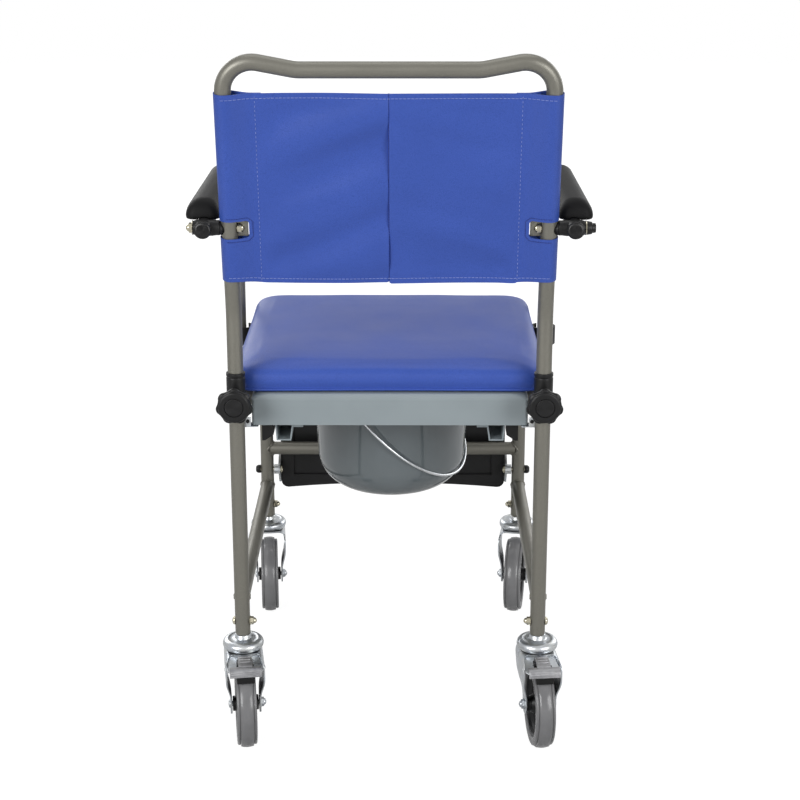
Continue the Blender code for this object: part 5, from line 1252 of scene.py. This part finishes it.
def make_sling():
    """The backrest sling: one sheet of coated vinyl with a sleeve round each upright and its windows."""
    section = sling_section()
    rows = spaced([SLING_LOW, *SLING_HEM_ROWS, SLING_HIGH], 0.0040)
    bm = bmesh.new()
    open_sheet(bm, [[bm.verts.new(sling_point(x, out, along)) for x, out in section] for along in rows])
    sling = piece("vinyl_sling", bm, VINYL, sharp_deg=50)
    body = sling.modifiers.new("body", "SOLIDIFY")
    body.thickness = 2 * SLING_HALF_T
    body.offset = 0.0
    reach = HALF_X + 0.03 - WINDOW_X
    window = rounded_rectangle(reach / 2, WINDOW_HALF, 0.0045, 5)
    outline = [(a + WINDOW_X + reach / 2, b + PIVOT_ALONG) for a, b in window]
    cutters = []
    for side, sign in SIDES:
        bm = bmesh.new()
        leaned_plate(bm, sign, outline, -0.03, 0.03)
        cutters.append(piece(f"window_cutter_{side}", bm, VINYL))
    cut_away(sling, cutters)
    sling.data.set_sharp_from_angle(angle=math.radians(50))
    attach(sling, "backrest", "back_sling")
    make_sling_stitches()


def stitch_run(bm, points, pitch, length, radius):
    """Stitches along a line of (x, along) points on the sling's rear face, each sunk at both ends."""
    lift = Vector((0, math.cos(LEAN), -math.sin(LEAN)))

    def on_face(x, along):
        out = sling_out(x) + SLING_HALF_T
        if abs(x) < HALF_X:
            out += sling_relief(x, along)
        return leaned(x, along + sling_lift(x, along), out + radius * 0.6)

    for a, b in zip(points, points[1:]):
        count = max(1, round(math.hypot(b[0] - a[0], b[1] - a[1]) / pitch))
        for i in range(count):
            shares = (i + 0.18) / count, min((i + 0.18 + length / pitch) / count, 1.0)
            start, end = [on_face(a[0] + (b[0] - a[0]) * s, a[1] + (b[1] - a[1]) * s) for s in shares]
            rising = [start - lift * 0.0005, start + lift * 0.0001, (start + end) / 2 + lift * 0.0003]
            sweep(bm, [*rising, end + lift * 0.0001, end - lift * 0.0005], radius, 6)


def make_sling_stitches():
    """Pale rows on the hems and sleeves, and at the middle seam and windows thread painted navy for hole
    shade.
    """
    low, high = SLING_LOW, SLING_HIGH
    hem_stitch = (0.0052, 0.0036, 0.00034)
    gap, corner = 0.0052, 0.006
    top, bottom = PIVOT_ALONG + WINDOW_HALF + gap * 0.8, PIVOT_ALONG - WINDOW_HALF - gap * 0.8
    pale = bmesh.new()
    # Rows in the thread painted navy for the shade in their stitch holes.
    shaded_rows = bmesh.new()
    for sign in (1, -1):
        edge = sign * SLING_SEAM_X
        stitch_run(pale, [(edge, low + 0.002), (edge, high - 0.002)], 0.0060, 0.0022, 0.00034)
        outer = sign * (HALF_X + 0.003)
        for along in SLING_HEM_ROWS:
            stitch_run(pale, [(edge, along), (outer, along)], *hem_stitch)
        inner = sign * (WINDOW_X - gap)
        turn = sign * (WINDOW_X - gap + corner)
        route = [(outer, top), (turn, top), (inner, top - corner), (inner, bottom + corner), (turn, bottom)]
        stitch_run(shaded_rows, [*route, (outer, bottom)], 0.0032, 0.0020, 0.00042)
    for along in SLING_HEM_ROWS:
        stitch_run(pale, [(-SLING_SEAM_X, along), (SLING_SEAM_X, along)], *hem_stitch)
    stitch_run(shaded_rows, [(0.0, low + 0.004), (0.0, high - 0.001)], 0.0036, 0.0023, 0.00055)
    return [
        piece("sling_hem_stitches", pale, PALE_THREAD, "backrest", sharp_deg=180),
        piece("sling_seam_stitches", shaded_rows, HOLE_SHADE_THREAD, "backrest", sharp_deg=180),
    ]


def make_sling_plates():
    """Flat tabs on the uprights, seen in the windows beside the pivot nuts."""
    tab = rounded_rectangle(0.0078, 0.0115, 0.0012, 3)
    outline = [(a + WINDOW_X + 0.0092, b + PIVOT_ALONG) for a, b in tab]
    for side, sign in SIDES:
        bm = bmesh.new()
        leaned_plate(bm, sign, outline, -0.0004, 0.0010)
        piece(f"window_tab_{side}", bm, STEEL_COAT, "backrest", bevel=0.0003)


def cushion_loop(bm, half_x, half_y, middle, z, inset, crown, corner_steps=10, side_steps=14):
    """One level of the cushion before it swells."""
    a, b = half_x - inset, half_y - inset
    r = max(CUSHION_CORNER_R - inset * 0.4, 0.004)
    side_ends = [(-(a - r), b), (-a, -(b - r)), (a - r, -b), (a, b - r)]
    corners = [(a - r, b - r), (-(a - r), b - r), (-(a - r), -(b - r)), (a - r, -(b - r))]
    points = []
    for k, (corner, end) in enumerate(zip(corners, side_ends)):
        points += arc(corner, r, 90 * k, 90 * k + 90, corner_steps)
        last = points[-1]
        for i in range(1, side_steps):
            share = i / side_steps
            points.append((last[0] + (end[0] - last[0]) * share, last[1] + (end[1] - last[1]) * share))
    made = []
    for x, y in points:
        rise = crown * (1 - (x / half_x) ** 4) * (1 - (y / half_y) ** 4)
        made.append(bm.verts.new((middle.x + x, middle.y + y, z + rise)))
    return made


def make_cushion():
    """Padded seat: foam under coated vinyl, puffed by a short cloth run, with a bottom welt."""
    low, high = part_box("seat_cushion")
    middle = (low + high) / 2
    half_x, half_y = (high.x - low.x) / 2 + CUSHION_OVERHANG, (high.y - low.y) / 2 - 0.0010
    base = low.z + 0.0002
    side_h = CUSHION_SIDE_H
    rows = [(0.0085, base, 0.0), (0.0040, base + 0.0015, 0.0), (0.0018, base + 0.0060, 0.0)]
    rows += [(0.0004, base + side_h * 0.30, 0.0), (0.0000, base + side_h * 0.48, 0.0)]
    rows += [(0.0012, base + side_h * 0.66, 0.0), (0.0044, base + side_h * 0.82, 0.0)]
    rows += [(0.0096, base + side_h * 0.93, 0.0002), (0.0165, base + side_h * 0.99, 0.0010)]
    crowned = ((0.0250, 0.0024), (0.0420, 0.0042), (0.0700, 0.0055), (0.1150, 0.0068), (0.1700, 0.0074))
    rows += [(inset, base + side_h, crown) for inset, crown in crowned]
    bm = bmesh.new()
    loft(bm, [cushion_loop(bm, half_x, half_y, middle, z, inset, crown) for inset, z, crown in rows])
    cushion = piece("vinyl_cushion", bm, VINYL, sharp_deg=180)
    remesh = cushion.modifiers.new("remesh", "REMESH")
    remesh.mode = "VOXEL"
    remesh.voxel_size = 0.0055
    bake(cushion)
    swell(cushion, base + 0.004, CUSHION_SWELL_CAP)
    shape_cushion(cushion, middle, base, low, high)
    subdivide(cushion)
    bake(cushion)
    cushion.data.shade_smooth()
    make_cushion_welt(cushion, middle, base + 0.0036)
    attach(cushion, "cushion", "seat_cushion")


def evened(moves, edges):
    """Each point's move averaged half and half with its neighbours' mean, which takes out sharp creases."""
    total = [Vector() for _ in moves]
    count = [0] * len(moves)
    for a, b in edges:
        total[a] += moves[b]
        total[b] += moves[a]
        count[a] += 1
        count[b] += 1
    return [(move + around / max(number, 1)) / 2 for move, around, number in zip(moves, total, count)]


def swell(obj, pinned_below, cap, rounds=16):
    """Puffs a closed mesh with a short cloth run, its base held, and caps how far a point moves."""
    start = [vertex.co.copy() for vertex in obj.data.vertices]
    group = obj.vertex_groups.new(name="held")
    group.add([vertex.index for vertex in obj.data.vertices if vertex.co.z < pinned_below], 1.0, "REPLACE")
    cloth = obj.modifiers.new("cloth", "CLOTH")
    cloth.settings.quality = 6
    cloth.settings.mass = 0.4
    cloth.settings.tension_stiffness = 25
    cloth.settings.compression_stiffness = 25
    cloth.settings.bending_stiffness = 1.5
    cloth.settings.use_pressure = True
    cloth.settings.uniform_pressure_force = 4.0
    cloth.settings.vertex_group_mass = "held"
    cloth.settings.effector_weights.gravity = 0.0
    cloth.point_cache.frame_start = 1
    cloth.point_cache.frame_end = CLOTH_FRAMES
    scene = bpy.context.scene
    for number in range(1, CLOTH_FRAMES + 1):
        scene.frame_set(number)
    depsgraph = bpy.context.evaluated_depsgraph_get()
    swollen = bpy.data.meshes.new_from_object(obj.evaluated_get(depsgraph))
    obj.modifiers.clear()
    moves = [after.co - before for before, after in zip(start, swollen.vertices)]
    edges = [tuple(edge.vertices) for edge in swollen.edges]
    bpy.data.meshes.remove(swollen)
    for _ in range(rounds):
        moves = evened(moves, edges)
    for vertex, before, move in zip(obj.data.vertices, start, moves):
        if move.length > cap:
            move *= cap / move.length
        vertex.co = before + move
    scene.frame_set(1)


def shape_cushion(obj, middle, base, low, high):
    """Flat underside, sides drawn in between the corners, small pleats by the corners, kept in its box."""
    half_x, half_y = (high.x - low.x) / 2 + CUSHION_OVERHANG, (high.y - low.y) / 2
    for vertex in obj.data.vertices:
        co = vertex.co
        x, y, z = co.x - middle.x, co.y - middle.y, co.z - base
        share_x, share_y = abs(x) / half_x, abs(y) / half_y
        side = smooth_share(max(share_x, share_y), 0.86, 0.97)
        draw_x, draw_y = 0.0, 0.0
        if share_x > share_y:
            draw_x = 0.0012 * max(0.0, 1 - (y / (half_y * 0.84)) ** 2) * side
        if share_y > share_x:
            draw_y = 0.0020 * max(0.0, 1 - (x / (half_x * 0.84)) ** 2) * side
        x -= math.copysign(draw_x, x)
        y -= math.copysign(draw_y, y)
        corner = smooth_share(abs(x) / half_x, 0.80, 0.95) * smooth_share(abs(y) / half_y, 0.80, 0.95)
        pleat = corner * 0.0011 * math.sin(46 * math.atan2(abs(y) - half_y * 0.82, abs(x) - half_x * 0.82))
        fade = 1.0 - smooth_share(z, 0.004, 0.026)
        x += math.copysign(pleat * fade, x)
        y += math.copysign(pleat * fade, y)
        ripple = noise.noise(Vector((x * 9.0, y * 9.0, z * 22.0))) * 0.0011 * smooth_share(z, 0.004, 0.02)
        groove = math.exp(-(((z - 0.0072) / 0.0026) ** 2)) * 0.0016 * side
        scale = 1.0 - groove / max(abs(x), abs(y), 0.05)
        co.x = middle.x + min(max(x * scale, -half_x), half_x)
        co.y = middle.y + min(max(y * scale, -half_y), half_y)
        co.z = base + min(max(z + ripple, 0.0), high.z - base)


def make_cushion_welt(cushion, middle, z, steps=240):
    """The piped welt sewn round the cushion's lower edge."""
    tree = BVHTree.FromObject(cushion, bpy.context.evaluated_depsgraph_get())
    line = []
    for i in range(steps):
        angle = 2 * math.pi * i / steps
        way = Vector((math.cos(angle), math.sin(angle), 0))
        line.append(tree.ray_cast(Vector((middle.x, middle.y, z)) + way * 0.5, -way)[0] + way * 0.0004)
    smoothed = [(line[i - 1] + line[i] * 2 + line[(i + 1) % steps]) / 4 for i in range(steps)]
    bm = bmesh.new()
    sweep(bm, smoothed, 0.0021, 10, closed=True)
    piece("cushion_welt", bm, VINYL, "cushion", sharp_deg=180)


def make_arm_pads():
    """Moulded foam pads: crowned top, rounded ends, and an arched rear underside over the tee."""
    rows = [(0.0042, 0.000), (0.0014, 0.020), (0.0003, 0.080), (0.0000, 0.200), (0.0006, 0.360)]
    rows += [(0.0022, 0.540), (0.0050, 0.720), (0.0092, 0.870), (0.0140, 0.960), (0.0185, 0.995)]
    rows += [(0.0215, 1.000)]
    for side, sign in SIDES:
        node = f"arm_pad_{side}"
        low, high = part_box(node)
        middle = (low + high) / 2
        half_x, half_y = (high.x - low.x) / 2, (high.y - low.y) / 2
        bm = bmesh.new()
        loops = []
        for inset, share in rows:
            a, z = half_x - inset, low.z + (high.z - low.z) * share
            outline = refined(rounded_rectangle(a, half_y - inset, min(0.0125, a * 0.9), 10), 11)
            loops.append([bm.verts.new((middle.x + x, middle.y + y, z)) for x, y in outline])
        loft(bm, loops)
        pad = piece(f"foam_pad_{side}", bm, FOAM, sharp_deg=60)
        bm = bmesh.new()
        ends = [(sign * ARM_X, ARM_Y - 0.045, ARM_Z), (sign * ARM_X, ARM_Y + 0.06, ARM_Z)]
        sweep(bm, ends, TEE_R + 0.0010, 48)
        cut_away(pad, [piece(f"pad_cutter_{side}", bm, FOAM)], rounded=0.0010)
        pad.data.set_sharp_from_angle(angle=math.radians(60))
        attach(pad, f"armrest_{side}", node)


def refined(outline, corner_points):
    """The outline with the run after each corner's points split, the two long ones finely."""
    points = []
    for i, (a, b) in enumerate(outline):
        points.append((a, b))
        if (i + 1) % corner_points == 0:
            after = outline[(i + 1) % len(outline)]
            steps = 20 if (i + 1) // corner_points in (2, 4) else 2
            for k in range(1, steps):
                points.append((a + (after[0] - a) * k / steps, b + (after[1] - b) * k / steps))
    return points


def make_foot_hardware():
    """The footrest's hinge bolts, with their nuts inside the legs and caps outside."""
    leg_out = HALF_X + TUBE_R
    for side, sign in SIDES:
        node = f"footrest_pivot_{side}"
        low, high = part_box(node)
        inner, outer = sorted((abs(low.x), abs(high.x)))
        bm = bmesh.new()
        ends = [(sign * (inner + 0.003), FRONT_Y, FOOT_AXIS_Z), (sign * leg_out, FRONT_Y, FOOT_AXIS_Z)]
        sweep(bm, ends, BOLT_R, 20)
        nut_at = along_axis((sign * (inner + 0.0042), FRONT_Y, FOOT_AXIS_Z), (-sign, 0, 0))
        acorn_nut(bm, nut_at, 0.0110, 0.0046)
        piece(f"foot_hinge_bolt_{side}", bm, NUT_ZINC, "frame")
        cap = [(0.0, 0.0), (0.0070, 0.0), (0.0070, 0.0044), (0.0062, 0.0066)]
        cap += [(0.0044, outer - leg_out), (0.0, outer - leg_out)]
        at = along_axis((sign * (leg_out + 0.0001), FRONT_Y, FOOT_AXIS_Z), (sign, 0, 0))
        turned(f"foot_hinge_cap_{side}", cap, at, 36, 0.0006, BLACK_NYLON, "frame", node)


def make_corner_brackets():
    """Bent zinc brackets between the board's rear corners and the legs, each with a black screw."""
    sheet_t = 0.0014
    board_low, board_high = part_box("seat_board")
    inner, outer = board_high.x + 0.0006, HALF_X - TUBE_R + 0.0012
    base = board_low.z
    face_y = REAR_Y - TUBE_R * 0.75
    upright = [(inner, base - 0.0016), (outer, base - 0.0016), (outer, base + 0.0128), (inner, base + 0.0128)]
    front_y, tuck = face_y - 0.018, inner - 0.0100
    flange = [(tuck, front_y), (outer, front_y), (outer, face_y), (tuck, face_y)]
    for side, sign in SIDES:
        bm = bmesh.new()
        standing = Matrix(((sign, 0, 0, 0), (0, 0, 1, face_y - sheet_t), (0, 1, 0, 0), (0, 0, 0, 1)))
        prism(bm, upright, 0.0, sheet_t, standing)
        lying = Matrix(((sign, 0, 0, 0), (0, 1, 0, 0), (0, 0, 1, base - 0.0020), (0, 0, 0, 1)))
        prism(bm, flange, 0.0, sheet_t, lying)
        piece(f"corner_bracket_{side}", bm, ZINC, "frame", bevel=0.0004)
        seat = along_axis((sign * (inner + outer) / 2, face_y, base + 0.0068), (0, 1, 0))
        turned(f"bracket_screw_{side}", disc(0.0027, 0.0014), seat, 20, 0.0003, BLACK_NYLON, "frame")


make_camera()
make_studio()
make_frame_tubes()
make_leg_bolts()
make_back_frame()
make_collars()
make_knobs()
make_arm_tubes()
make_arm_tees()
make_sockets()
make_caster_heads()
make_forks()
make_fork_aprons()
make_wheels()
make_pedals()
make_board_and_runners()
make_corner_brackets()
make_pail()
make_sling()
make_sling_plates()
make_cushion()
make_arm_pads()
make_foot_hardware()
